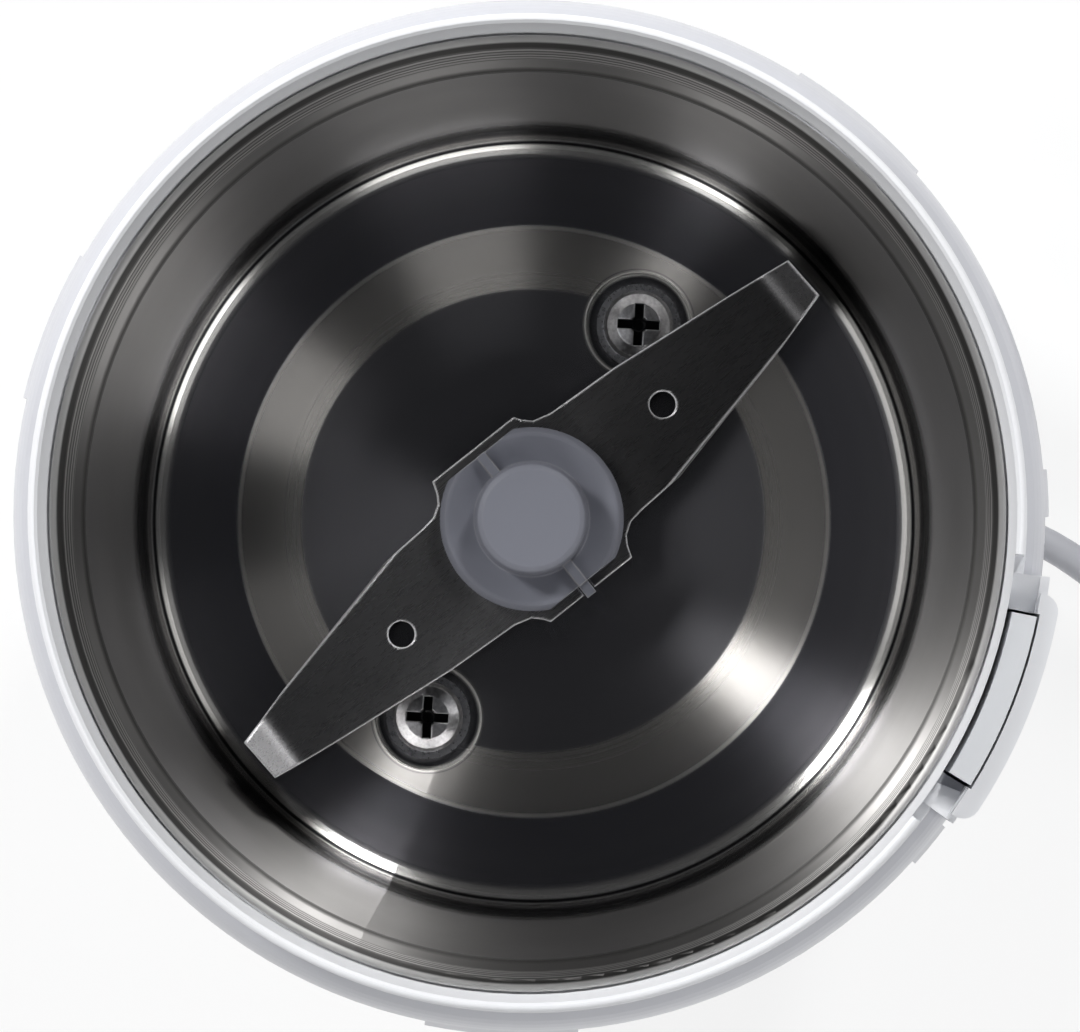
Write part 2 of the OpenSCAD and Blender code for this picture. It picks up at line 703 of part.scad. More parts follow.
// Cap above the blade: dished rim round a raised disc
module hub_cap() {
  disc_r = hub_disc_d / 2;
  rotate_extrude() polygon([[0, 0], [hub_r - 0.3, 0], [hub_r, 0.4], [hub_r, cap_h - 0.4], [hub_r - 0.5, cap_h],
    [hub_r - 0.8, cap_h], [disc_r + 0.2, cap_h - 0.7], [disc_r, cap_h - 0.5], [disc_r, hub_h - 0.6],
    [disc_r - 0.25, hub_h - 0.18], [disc_r - 0.7, hub_h], [0, hub_h]]);
}

// Key that drops from the cap into the notch in one ear of the blade
module hub_key() {
  key_y = hub_flats / 2;
  translate([-0.5, -ear_half - 0.4, blade_z + 0.2])
    cube([1, ear_half + 0.4 - key_y + 0.4, blade_t + cap_h - 0.8]);
}

module hub_insert() {
  color("goldenrod") translate([0, 0, hub_low]) ring(insert_r, thread_r + snug, hub_top - 2.2 - hub_low);
}

// ---------------------------------------------------------------- motor, turning parts

module motor_shaft() {
  color("lightgray") union() {
    translate([0, 0, lower_bush_z + 0.2]) cylinder(r = shaft_r, h = hub_low - lower_bush_z - 0.2);
    translate([0, 0, hub_low - eps]) cylinder(r = thread_r, h = hub_top - 3 - hub_low);
  }
}

module rotor_core() {
  color("dimgray") translate([0, 0, stack_low]) difference() {
    cylinder(r = rotor_r, h = stack_h);
    translate([0, 0, -eps]) cylinder(r = shaft_r + snug, h = stack_h + 1);
    for (i = [0:slots - 1]) rotate([0, 0, 360 * i / slots]) {
      translate([rotor_r - 3, 0, -eps]) cylinder(r = 1.7, h = stack_h + 1, $fn = 24);
      translate([rotor_r - 2.5, -0.5, -eps]) cube([3, 1, stack_h + 1]);
    }
  }
}

module rotor_windings() {
  color("chocolate") union() {
    for (z = [stack_top + eps, stack_low - crown_h - eps]) translate([0, 0, z]) rotate_extrude()
      polygon([[shaft_r + 1, 0.4], [shaft_r + 2, 0], [rotor_r - 2.4, 0], [rotor_r - 1, 1.2],
        [rotor_r - 1, crown_h - 1.2], [rotor_r - 2.4, crown_h], [shaft_r + 2, crown_h],
        [shaft_r + 1, crown_h - 0.4]]);
    for (i = [0:slots - 1]) rotate([0, 0, 360 * i / slots])
      translate([rotor_r - 3, 0, stack_low - 1]) cylinder(r = 1.55, h = stack_h + 2, $fn = 24);
  }
}

module commutator() {
  color("peru") translate([0, 0, comm_low]) difference() {
    union() {
      cylinder(r = comm_r, h = comm_top - comm_low);
      translate([0, 0, comm_top - comm_low - 1.6]) cylinder(r = comm_r + 1.1, h = 1.6);
    }
    translate([0, 0, -eps]) cylinder(r = shaft_r + snug, h = 20);
    for (i = [0:slots - 1]) rotate([0, 0, 360 * (i + 0.5) / slots])
      translate([comm_r - 0.9, -0.2, -eps]) cube([3, 0.4, 20]);
  }
}

// Suction fan on the shaft between rotor and upper bearing
module cooling_fan() {
  color("ivory") translate([0, 0, fan_z]) difference() {
    union() {
      cylinder(r = fan_r, h = 1);
      cylinder(r = shaft_r + 2.2, h = 2.6);
      for (i = [0:8]) rotate([0, 0, 40 * i]) translate([shaft_r + 6.2, 0, 0.9]) rotate([0, 0, 18])
        cube([fan_r - shaft_r - 6.9, 1, fan_h - 0.9]);
    }
    translate([0, 0, -eps]) cylinder(r = shaft_r + snug, h = 6);
  }
}

module thrust_washers() {
  color("tan") {
    translate([0, 0, lower_bush_z + bush_l + run]) ring(5.2, shaft_r + snug, 0.6);
    translate([0, 0, upper_bush_z - run - 0.6]) ring(5.2, shaft_r + snug, 0.6);
  }
}

// ---------------------------------------------------------------- motor, fixed parts

// Sintered bush with a rounded outside
module bush() {
  rotate_extrude() polygon(concat([[shaft_r + run, 0]],
    [for (a = [-50:20:50]) [bush_r * cos(a) / cos(0), bush_l / 2 + bush_l / 2 * sin(a) / sin(50)]],
    [[shaft_r + run, bush_l]]));
}

module upper_bush() {
  color("darkkhaki") translate([0, 0, upper_bush_z]) bush();
}

module lower_bush() {
  color("darkkhaki") translate([0, 0, lower_bush_z]) bush();
}

// Spring washers that hold the bushes in their pots
module bush_retainers() {
  color("lightgray") for (z = [upper_bush_z + bush_l, lower_bush_z - 0.6])
    translate([0, 0, z]) ring(bush_r, shaft_r + 0.8, 0.6);
}

module arm_plate(l, w) {
  translate([-l, -w / 2, 0]) cube([2 * l, w, bracket_t]);
  for (x = [-1, 1]) translate([x * l, 0, 0]) cylinder(d = w, h = bracket_t);
}

module upper_bracket() {
  color("lightslategray") difference() {
    union() {
      translate([0, 0, bracket_low]) rotate([0, 0, screw_turn]) arm_plate(screw_at, 10);
      translate([0, 0, bracket_low]) rotate([0, 0, 90]) arm_plate(bolt_y, 8);
      translate([0, 0, bracket_low]) cylinder(r = 11, h = bracket_t + 0.5);
      translate([0, 0, upper_bush_z - 0.6]) cylinder(r = pot_r, h = bush_l + 1.4);
      for (y = [-1, 1]) translate([0, y * bolt_y, stack_top]) cylinder(r = 3, h = bracket_low - stack_top + 1);
    }
    translate([0, 0, upper_bush_z]) cylinder(r = bush_r + run, h = bush_l + 5);
    translate([0, 0, upper_bush_z - 5]) cylinder(r = 5.4, h = 10);
    at_bowl_screws() translate([0, 0, bracket_low - 1]) cylinder(r = screw_r + snug, h = 6);
    for (y = [-1, 1]) translate([0, y * bolt_y, stack_top - 1]) cylinder(r = bolt_r + snug, h = 12);
  }
}

module lower_bracket() {
  color("lightslategray") difference() {
    union() {
      translate([0, 0, lower_low]) cylinder(r = 11, h = bracket_t);
      translate([0, 0, lower_low]) rotate([0, 0, 90]) arm_plate(bolt_y, 8);
      translate([-24, -3.5, lower_low]) cube([48, 7, bracket_t]);
      for (x = [-1, 1]) translate([x * 19 - 4, -3.5, lower_low])
        cube([8, 7, brush_z - brush_h / 2 - fit - holder_t - lower_low]);
      translate([0, 0, lower_bush_z - 0.6]) cylinder(r = pot_r, h = bush_l);
      for (y = [-1, 1]) translate([0, y * bolt_y, lower_low]) cylinder(r = 3, h = stack_low - lower_low);
    }
    translate([0, 0, lower_bush_z - 1]) cylinder(r = bush_r + run, h = bush_l + 1);
    translate([0, 0, lower_bush_z]) cylinder(r = 5.4, h = 10);
    for (y = [-1, 1]) translate([0, y * bolt_y, lower_low - 1]) cylinder(r = bolt_r + snug, h = 40);
  }
}

module motor_dampers() {
  color("dimgray") at_bowl_screws() translate([0, 0, bracket_top]) ring(5, screw_hole_r, damper_t);
}

module motor_screws() {
  color("lightgray") for (y = [-1, 1]) translate([0, y * bolt_y, lower_low]) rotate([180, 0, 0])
    pan_screw(bolt_r, bracket_low - lower_low - 2, 2.8, 2);
}

module stator_core() {
  color("gray") translate([0, 0, stack_low]) linear_extrude(stack_h) difference() {
    union() {
      difference() {
        round_rect(stator_w, stator_d, 8);
        round_rect(stator_w - 2 * yoke_t, stator_d - 2 * yoke_t, 5);
      }
      for (x = [-1, 1]) translate([x * (stator_w / 4 + 3), 0])
        square([stator_w / 2 - 8, pole_w], center = true);
      intersection() {
        circle(r = bore_r + 3.2);
        for (x = [-1, 1]) translate([x * 15, 0]) square([16, 25], center = true);
      }
    }
    circle(r = bore_r);
    for (y = [-1, 1]) translate([0, y * bolt_y]) circle(r = bolt_r + snug, $fn = 32);
  }
}

module field_coils() {
  color("chocolate") for (x = [-1, 1]) translate([x * (coil_x - coil_t / 2), 0, (stack_low + stack_top) / 2])
    rotate([90, 0, 90]) translate([0, 0, -coil_t / 2]) linear_extrude(coil_t) difference() {
      round_rect(pole_w + 2 * coil_out, stack_h + 2 * coil_out, 4);
      round_rect(pole_w + 2 * fit, stack_h + 2 * fit, 0.2);
    }
}

// Brush gear: tube, carbon and spring lie along X on each side
module brush_holders() {
  inner_w = brush_w + 2 * fit;
  inner_h = brush_h + 2 * fit;
  color("goldenrod") for (a = [0, 180]) rotate([0, 0, a]) difference() {
    translate([comm_r + 2, -inner_w / 2 - holder_t, brush_z - inner_h / 2 - holder_t])
      cube([holder_end - comm_r - 2, inner_w + 2 * holder_t, inner_h + 2 * holder_t]);
    translate([comm_r, -inner_w / 2, brush_z - inner_h / 2])
      cube([holder_end - comm_r - holder_t, inner_w, inner_h]);
  }
}

module carbon_brushes() {
  color("black") for (a = [0, 180]) rotate([0, 0, a]) difference() {
    translate([comm_r - 1, -brush_w / 2, brush_z - brush_h / 2]) cube([brush_l + 1, brush_w, brush_h]);
    translate([0, 0, comm_low]) cylinder(r = comm_r + run, h = 20);
  }
}

module brush_springs() {
  color("lightgray") for (a = [0, 180]) rotate([0, 0, a]) translate([comm_r + brush_l, 0, brush_z])
    rotate([0, 90, 0]) coil_spring(1.5, 0.25, holder_end - holder_t - comm_r - brush_l, 5);
}

// ---------------------------------------------------------------- lid switch

// Plate that hangs from the deck and carries the snap switch
module switch_carrier() {
  color("whitesmoke") difference() {
    union() {
      translate([-carrier_w / 2, carrier_y, switch_low - 1])
          cube([carrier_w, carrier_t, flange_z - switch_low + 1]);
      translate([-carrier_w / 2, carrier_y, flange_z - carrier_t]) cube([carrier_w, 11, carrier_t]);
      for (x = [-carrier_w / 2, carrier_w / 2 - 1.6]) translate([x, carrier_y, flange_z - 9])
        rotate([90, 0, 90]) linear_extrude(1.6)
          polygon([[0, 0], [carrier_t, 0], [10, 9 - carrier_t / 2], [0, 9 - carrier_t / 2]]);
    }
    for (x = [-1, 1]) translate([x * carrier_hole_x, carrier_hole_y, flange_z - 3])
      cylinder(r = switch_hole_r + fit, h = 6);
    for (x = [-1, 1]) translate([x * switch_pitch / 2, carrier_y - 1, switch_low + switch_h / 2])
      rotate([-90, 0, 0]) cylinder(r = switch_hole_r, h = 6);
  }
}

module carrier_screws() {
  color("silver") for (x = [-1, 1]) translate([x * carrier_hole_x, carrier_hole_y, flange_z - carrier_t])
    rotate([180, 0, 0]) pan_screw(switch_hole_r - fit, carrier_t + boss_h + 1.5, 2.8, 1.8);
}

module switch_body() {
  color("dimgray") difference() {
    union() {
      translate([-switch_w / 2, switch_y, switch_low]) cube([switch_w, switch_d, switch_h]);
      translate([pivot_x - 1.6, switch_y + switch_d / 2 - 3.2, switch_top - eps])
        cube([3.2, 0.8, lever_rise + 1]);
      translate([pivot_x - 1.6, switch_y + switch_d / 2 + 2.4, switch_top - eps])
        cube([3.2, 0.8, lever_rise + 1]);
    }
    for (x = [-1, 1]) translate([x * switch_pitch / 2, switch_y - 1, switch_low + switch_h / 2])
      rotate([-90, 0, 0]) cylinder(r = switch_hole_r, h = switch_d + 2);
    translate([plunger_x, switch_y + switch_d / 2, switch_top - 4]) cylinder(r = 1.3 + run, h = 5, $fn = 32);
  }
}

module switch_plunger() {
  color("firebrick") translate([plunger_x, switch_y + switch_d / 2, switch_top - 2])
    cylinder(r = 1.3, h = lever_z - lever_gap - switch_top + 2, $fn = 32);
}

// Spring-steel lever with its hinge barrel between the two ears of the switch
module switch_lever() {
  y_mid = switch_y + switch_d / 2;
  color("lightgray") union() {
    translate([pivot_x, y_mid - 2.1, lever_z + lever_t / 2]) rotate([-90, 0, 0])
      cylinder(r = 0.7, h = 4.2, $fn = 32);
    translate([pivot_x, y_mid - 2, lever_z]) cube([press_arm + 2.5, 4, lever_t]);
  }
}

module switch_terminals() {
  color("goldenrod") for (x = [-9, 0, 9]) translate([x - 2.4, switch_y + switch_d / 2 - 0.4, switch_low - 7])
    difference() {
      cube([4.8, 0.8, 7]);
      translate([2.4, -1, 2]) rotate([-90, 0, 0]) cylinder(r = 0.8, h = 3, $fn = 24);
    }
}

module switch_screws() {
  color("silver") for (x = [-1, 1])
    translate([x * switch_pitch / 2, switch_y + switch_d, switch_low + switch_h / 2])
    rotate([-90, 0, 0]) pan_screw(switch_hole_r - run, switch_d + carrier_t + fit, 2.6, 1.6);
}

// Push rod: curved tongue under the lid's tab, narrow leg, foot over the switch lever
module push_rod() {
  leg_half = asin(leg_w / 2 / rod_out);
  color("gainsboro") union() {
    sector(rod_in, rod_out, tongue_half, rod_top - tongue_h, rod_top);
    sector(rod_in + 0.05, rod_out - 0.05, leg_half, foot_low, rod_top - tongue_h + 1);
    translate([-leg_w / 2, foot_in, foot_low]) cube([leg_w, rod_in + rod_t / 2 - foot_in, foot_t]);
    translate([0, foot_in, foot_low]) cube([press_x + nub_r, nub_l, foot_t]);
    translate([press_x, foot_in, foot_low]) rotate([-90, 0, 0]) cylinder(r = nub_r, h = nub_l, $fn = 48);
    translate([0, spring_y, foot_low - 7]) cylinder(r = pin_r, h = 7 + foot_t / 2, $fn = 32);
  }
}

module rod_spring() {
  color("lightgray") translate([0, spring_y, spring_low])
    coil_spring(spring_r, spring_wire, foot_low - spring_low, 7);
}

// ---------------------------------------------------------------- base

module base_cover() {
  color("gainsboro") difference() {
    union() {
      translate([0, 0, foot_h]) cylinder(r1 = cover_r - 0.8, r2 = cover_r, h = 0.8);
      translate([0, 0, foot_h + 0.8 - eps]) cylinder(r = cover_r, h = cover_t - 0.8 + eps);
      translate([relief_x - 8.5, clamp_y - 3.5, cover_z - eps]) cube([17, 7, cord_z - cord_w / 2 - cover_z]);
    }
    for (i = [0:17]) rotate([0, 0, 20 * i]) translate([15, -1, foot_h - 1]) cube([10, 2, cover_t + 2]);
    at_turns(post_turns, post_at) {
      translate([0, 0, foot_h - 1]) cylinder(r = base_screw_r + 0.15, h = cover_t + 2);
      translate([0, 0, foot_h - 1]) cylinder(r = 3.1, h = 1 + cover_t - 1.2);
    }
    at_turns(foot_turns, foot_at) {
      translate([0, 0, foot_h - 1]) cylinder(r = stem_r + run, h = cover_t + 2);
      translate([0, 0, foot_h - 1]) cylinder(d = foot_d + 2 * fit, h = 1.5);
    }
    for (x = [-1, 1]) translate([relief_x + x * 5.6, clamp_y, foot_h + 1]) cylinder(r = 1.25, h = 9);
  }
}

module base_screws() {
  color("silver") at_turns(post_turns, post_at) translate([0, 0, cover_z - 1.2])
    rotate([180, 0, 0]) pan_screw(base_screw_r, 13, 2.8, 1.3);
}

module rubber_feet() {
  color("dimgray") at_turns(foot_turns, foot_at) union() {
    rotate_extrude() polygon([[0, 0], [foot_d / 2 - 1, 0], [foot_d / 2 - 0.4, 0.4], [foot_d / 2, foot_h + 0.5],
      [0, foot_h + 0.5]]);
    translate([0, 0, foot_h]) cylinder(r = stem_r, h = cover_t + 0.3);
    translate([0, 0, cover_z + run]) cylinder(r1 = stem_r + 0.6, r2 = stem_r - 0.4, h = 1.4);
  }
}

// Moulded strain relief: inner flange, neck in the wall and ribbed taper outside
module strain_relief() {
  l = relief_out - relief_in;
  color("gainsboro") translate([relief_x, relief_in, cord_z]) rotate([-90, 0, 0]) difference() {
    rotate_extrude() polygon([[0, -relief_barrel], [relief_r - 0.9, -relief_barrel], [relief_r - 0.7, -2.4],
      [relief_r + 0.7, -2.4], [relief_r + 0.7, -0.4], [relief_r, -0.4], [relief_r, l - 5],
      [relief_r - 0.5, l - 4.6], [relief_r - 0.5, l - 4], [relief_r - 0.2, l - 3.8],
      [relief_r - 0.4, l - 2.4], [relief_r - 0.8, l - 2.2], [relief_r - 0.8, l - 1.8],
      [relief_r - 0.5, l - 1.6],
      [relief_r - 0.8, l - 0.4], [relief_r - 1.1, l], [0, l]]);
    translate([0, 0, -relief_barrel - 1]) linear_extrude(l + relief_barrel + 2)
      round_rect(cord_t + 2 * snug, cord_w + 2 * snug, cord_t / 2 - 0.1);
  }
}

module cord_clamp() {
  color("whitesmoke") translate([relief_x, clamp_y, cord_z + cord_w / 2]) difference() {
    translate([0, 0, 0]) union() {
      translate([-8.5, -3.5, 0]) cube([17, 7, 2.2]);
      for (x = [-1, 1]) translate([x * 5.6, 0, -cord_w]) cylinder(r = 2.6, h = cord_w + eps);
    }
    for (x = [-1, 1]) translate([x * 5.6, 0, -cord_w - 1]) cylinder(r = 1.4, h = 12);
  }
}

module clamp_screws() {
  color("silver") for (x = [-1, 1]) translate([relief_x + x * 5.6, clamp_y, cord_z + cord_w / 2 + 2.2])
    pan_screw(1.2, 9.5, 2.4, 1.5);
}

// Sheathed lead inside the housing, from the clamp to the mouth of the strain relief
module supply_lead() {
  color("gainsboro") translate([relief_x, lead_end, cord_z]) rotate([-90, 0, 0])
    linear_extrude(relief_out - lead_end - 0.15) round_rect(cord_t, cord_w, cord_t / 2 - 0.1);
}

// Single wires from the lead to the switch and the field coils
module internal_leads() {
  y_term = switch_y + switch_d / 2 + 1.5;
  wire = round_section(0.8, 6);
  coil_mid = coil_x - coil_t / 2;
  coil_low = stack_low - coil_out - 0.2;
  start_y = lead_end - 0.2;
  color("firebrick") {
    sweep([[relief_x, start_y, cord_z + 1.3], [relief_x, start_y - 1, cord_z + 1.3],
      [relief_x + 0.3, start_y - 2.4, cord_z + 3], [-18, 13.4, 17], [-17, 17, 20.5], [-15, 23, 23],
      [-11.5, 29, 24.5], [-9, y_term, switch_low - 10.5], [-9, y_term, switch_low - 1]], wire, [1, 0.1, 0]);
    sweep([[relief_x, start_y, cord_z - 1.3], [relief_x, start_y - 1, cord_z - 1.3],
      [relief_x - 0.9, start_y - 2.8, 9.9], [-21.3, 10.2, 12], [-22, 8, 16.5], [-coil_mid, 6, coil_low - 4],
      [-coil_mid, 6, coil_low]], wire, [1, 0.1, 0]);
    sweep([[9, y_term, switch_low - 1], [9, y_term, switch_low - 10.5], [12, 30, 24.5], [16, 22, 22],
      [19, 12, 21.5], [coil_mid, 6, coil_low - 4], [coil_mid, 6, coil_low]], wire, [1, 0.1, 0]);
  }
}

// ---------------------------------------------------------------- free lead and plug

module power_cord() {
  color("gainsboro") sweep(cord_route, cord_section);
}

module cord_coil() {
  color("gainsboro") translate([coil_centre[0], coil_centre[1], 0]) ring(coil_rim, coil_in, cord_w);
}

module cord_tail() {
  color("gainsboro") sweep(tail_route, cord_section);
}

// Two-pin plug lying on the coil, pins along +X
module plug_body() {
  nose_w = 8.4;
  color("gainsboro") translate(plug_nose) rotate([0, 0, plug_turn]) rotate([90, 0, 90]) union() {
    linear_extrude(plug_nose_l) round_rect(nose_w - 1.4, nose_w, 2.4);
    translate([0, 0, plug_nose_l - eps]) linear_extrude(plug_l) round_rect(plug_w, plug_t, 5);
    translate([0, 0, plug_nose_l + plug_l - 2]) linear_extrude(2) round_rect(plug_w + 1.4, plug_t, 5.5);
  }
}

module plug_blades() {
  color("silver") translate(plug_nose) rotate([0, 0, plug_turn]) for (y = [-1, 1])
    translate([plug_nose_l + plug_l, y * pin_pitch / 2 - 0.75, -3.2]) difference() {
      cube([pin_l, 1.5, 6.4]);
      translate([pin_l - 3.6, -1, 3.2]) rotate([-90, 0, 0]) cylinder(r = 1.5, h = 4, $fn = 24);
    }
}

outer_housing();
top_collar();
grinding_bowl();
bowl_gasket();
bowl_grommets();
bowl_screws();
screw_washers();
shaft_seal();
blade();
blade_hub();
hub_insert();
motor_shaft();
rotor_core();
rotor_windings();
commutator();
cooling_fan();
thrust_washers();
upper_bush();
lower_bush();
bush_retainers();
upper_bracket();
lower_bracket();
motor_dampers();
motor_screws();
stator_core();
field_coils();
brush_holders();
carbon_brushes();
brush_springs();
switch_carrier();
carrier_screws();
switch_body();
switch_plunger();
switch_lever();
switch_terminals();
switch_screws();
push_rod();
rod_spring();
base_cover();
base_screws();
rubber_feet();
strain_relief();
cord_clamp();
clamp_screws();
supply_lead();
internal_leads();
power_cord();
cord_coil();
cord_tail();
plug_body();
plug_blades();
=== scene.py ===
"""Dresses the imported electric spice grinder: a finish for every piece, the flat mains lead in its coil,
the switch rod's spring, and a plain studio with the camera straight above the open bowl."""

import json
import math

import bmesh
import bpy
from bpy.props import FloatProperty, FloatVectorProperty, PointerProperty
from bpy.types import Operator, Panel, PropertyGroup
from mathutils import Matrix, Vector


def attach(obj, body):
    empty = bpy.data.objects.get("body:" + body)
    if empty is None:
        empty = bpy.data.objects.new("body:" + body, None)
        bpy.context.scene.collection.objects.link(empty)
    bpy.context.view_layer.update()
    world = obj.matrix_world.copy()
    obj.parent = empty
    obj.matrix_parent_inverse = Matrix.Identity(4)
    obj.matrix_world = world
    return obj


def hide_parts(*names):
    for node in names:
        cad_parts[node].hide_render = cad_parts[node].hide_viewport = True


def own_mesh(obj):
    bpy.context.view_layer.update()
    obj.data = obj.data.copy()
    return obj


bl_info = {
    "name": "Electric Spice Grinder",
    "version": (1, 0, 0),
    "blender": (4, 5, 0),
    "location": "View3D > Sidebar > Grinder",
    "description": "Finishes, lead and studio for an electric spice grinder",
    "category": "Object",
}

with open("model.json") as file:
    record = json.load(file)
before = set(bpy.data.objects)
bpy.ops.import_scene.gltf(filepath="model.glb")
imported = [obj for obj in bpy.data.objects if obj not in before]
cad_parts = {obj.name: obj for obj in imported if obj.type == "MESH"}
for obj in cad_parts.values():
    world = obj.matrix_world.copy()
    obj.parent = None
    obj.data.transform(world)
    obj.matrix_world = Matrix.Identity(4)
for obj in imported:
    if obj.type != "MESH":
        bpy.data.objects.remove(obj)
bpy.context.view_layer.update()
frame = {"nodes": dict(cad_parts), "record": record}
NODES = frame["nodes"]

MM = 0.001
# Points of a CAD mesh that are nearer than this are the same point
WELD_M = 0.002 * MM


# ---------------------------------------------------------------- colours and nodes


def linear(hex_code):
    """sRGB hex to a linear RGBA colour."""
    channels = [int(hex_code[i:i + 2], 16) / 255 for i in (1, 3, 5)]
    return tuple(
        c / 12.92 if c <= 0.04045 else ((c + 0.055) / 1.055) ** 2.4 for c in channels
    ) + (1.0,)


def as_colour(value):
    """A hex code, a grey level or a settings colour as a linear RGBA tuple."""
    if isinstance(value, str):
        return linear(value)
    if isinstance(value, float):
        return (value, value, value, 1.0)
    return tuple(value)


def darker(value, share):
    """The same colour with its light cut to the given share."""
    r, g, b, a = as_colour(value)
    return (r * share, g * share, b * share, a)


def add_node(tree, kind, settings=None, stops=(), **links):
    """Adds a node. Settings go to its properties, stops (position, colour) to its colour ramp, and
    links to its inputs, by name or as i0, i1 by number. A Mix node mixes colours from inputs 6 and 7
    to output 2, and numbers from inputs 2 and 3 to output 0."""
    node = tree.nodes.new(kind)
    for key, value in (settings or {}).items():
        setattr(node, key, value)
    if stops:
        steps = node.color_ramp.elements
        while len(steps) < len(stops):
            steps.new(0.5)
        for step, (position, colour) in zip(steps, stops):
            step.position = position
            step.color = as_colour(colour)
    for key, value in links.items():
        by_number = key[0] == "i" and key[1:].isdigit()
        socket = node.inputs[int(key[1:]) if by_number else key.replace("_", " ")]
        if isinstance(value, bpy.types.NodeSocket):
            tree.links.new(value, socket)
        else:
            socket.default_value = value
    return node


def new_material(name, colour, metallic, roughness, **extra):
    """A material with its Principled shader; extra sockets are set by name."""
    material = bpy.data.materials.new(name)
    material.use_nodes = True
    shader = shader_of(material)
    shader.inputs["Base Color"].default_value = as_colour(colour)
    shader.inputs["Metallic"].default_value = metallic
    shader.inputs["Roughness"].default_value = roughness
    for key, value in extra.items():
        shader.inputs[key.replace("_", " ")].default_value = value
    material.diffuse_color = as_colour(colour)
    return material


def shader_of(material):
    return material.node_tree.nodes["Principled BSDF"]


def object_axes(tree):
    """X, Y and Z of a place on the object."""
    place = add_node(tree, "ShaderNodeTexCoord")
    return add_node(tree, "ShaderNodeSeparateXYZ", Vector=place.outputs["Object"]).outputs


def object_noise(tree, per_metre, detail):
    """Cloudy pattern from 0 to 1 on object coordinates."""
    place = add_node(tree, "ShaderNodeTexCoord")
    return add_node(tree, "ShaderNodeTexNoise", Vector=place.outputs["Object"], Scale=per_metre,
                    Detail=detail, Roughness=0.5).outputs["Fac"]


def by_distance(tree, distance, table):
    """Colour along a distance, from a table of (millimetres, colour or grey level)."""
    start, end = table[0][0], table[-1][0]
    along = add_node(tree, "ShaderNodeMapRange", i0=distance, i1=start * MM, i2=end * MM)
    stops = [((mm - start) / (end - start), value) for mm, value in table]
    return add_node(tree, "ShaderNodeValToRGB", stops=stops,
                    Fac=along.outputs["Result"]).outputs["Color"]


# Noise lies mostly between these values
NOISE_SPAN = (0.3, 0.7)


def colour_by(tree, shader, pattern, dark, light, span=NOISE_SPAN):
    """The surface goes from the dark to the light colour as a pattern goes over its span."""
    tones = add_node(tree, "ShaderNodeValToRGB", stops=[(span[0], dark), (span[1], light)],
                     Fac=pattern)
    tree.links.new(tones.outputs["Color"], shader.inputs["Base Color"])


def gloss_by(tree, shader, pattern, roughness, smoother, rougher):
    """The surface's roughness varies with a pattern, from smoother by so much to rougher."""
    level = add_node(tree, "ShaderNodeMapRange", i0=pattern, i3=roughness - smoother,
                     i4=roughness + rougher)
    tree.links.new(level.outputs["Result"], shader.inputs["Roughness"])


def paint_over(tree, shader, share, colour):
    """Lays a linear colour over the surface's own where share is 1."""
    plain = shader.inputs["Base Color"].links[0].from_socket
    paint = add_node(tree, "ShaderNodeMix", {"data_type": "RGBA"}, i0=share, i6=plain, i7=colour)
    tree.links.new(paint.outputs[2], shader.inputs["Base Color"])


# An edge is painted pale, a painted highlight along with wear, as its rounded normal leaves the face's:
# their dot product where none and all of that paint shows
EDGE_TURN = (0.985, 0.9)
# Scratched edges scatter light instead of mirroring it, which also lets their painted highlight show
EDGE_METALLIC = 0.1


def bump(tree, shader, height, depth_mm, strength, edge=None):
    """Fine relief. With an edge (width in millimetres, tone), sharp edges shade as if rounded by that
    width, and are painted in that tone, a painted highlight along with wear."""
    relief = add_node(tree, "ShaderNodeBump", Height=height, Distance=depth_mm * MM, Strength=strength)
    tree.links.new(relief.outputs["Normal"], shader.inputs["Normal"])
    if not edge:
        return
    width_mm, tone = edge
    rounded = add_node(tree, "ShaderNodeBevel", {"samples": 8}, Radius=width_mm * MM)
    tree.links.new(rounded.outputs["Normal"], relief.inputs["Normal"])
    face = add_node(tree, "ShaderNodeNewGeometry")
    turn = add_node(tree, "ShaderNodeVectorMath", {"operation": "DOT_PRODUCT"},
                    i0=rounded.outputs["Normal"], i1=face.outputs["Normal"])
    wear_and_highlight = add_node(tree, "ShaderNodeMapRange", i0=turn.outputs["Value"], i1=EDGE_TURN[0],
                    i2=EDGE_TURN[1]).outputs["Result"]
    # Paints the edges in their pale tone: a painted highlight along with wear
    paint_over(tree, shader, wear_and_highlight, as_colour(tone))
    if shader.inputs["Metallic"].default_value == 1:
        edge_scatter = add_node(tree, "ShaderNodeMapRange", i0=wear_and_highlight, i3=1.0, i4=EDGE_METALLIC)
        tree.links.new(edge_scatter.outputs["Result"], shader.inputs["Metallic"])


# ---------------------------------------------------------------- finishes

# Patterns per metre: flow marks 36 mm apart in mouldings, clouds of 11 mm on the spun wall, and
# scratches 0.2 mm and flecks 4 mm apart on the blade. The scratches, like the bowl's fine rings, are
# drawn coarser than real ones, so that they show
FLOW_PER_M = 28
CLOUD_PER_M = 90
SCRATCH_PER_M = 5200
FLECK_PER_M = 260
# The scratches' pattern along the blade, as a share of that across it
SCRATCH_ALONG = 0.06


def moulded_plastic(name, dark, light, roughness, grain_mm=0.35, depth_mm=0.006, edge=None):
    """Injection-moulded plastic: faint flow marks in its colour, a fine spark-eroded grain in its
    gloss. The grain is drawn coarser than a real one, so that it shows."""
    material = new_material(name, light, 0.0, roughness, IOR=1.5)
    tree, shader = material.node_tree, shader_of(material)
    colour_by(tree, shader, object_noise(tree, FLOW_PER_M, 3), dark, light)
    grain = object_noise(tree, 1 / (grain_mm * MM), 2)
    gloss_by(tree, shader, grain, roughness, smoother=0.05, rougher=0.07)
    bump(tree, shader, grain, depth_mm, strength=0.5, edge=edge)
    return material


# Height of the ring's foot in millimetres, and how far below and above it the ring's tone fades into the
# shoulder's painted shade
RING_FOOT_MM = 118.6
RING_FADE_MM = (0.2, 0.3)


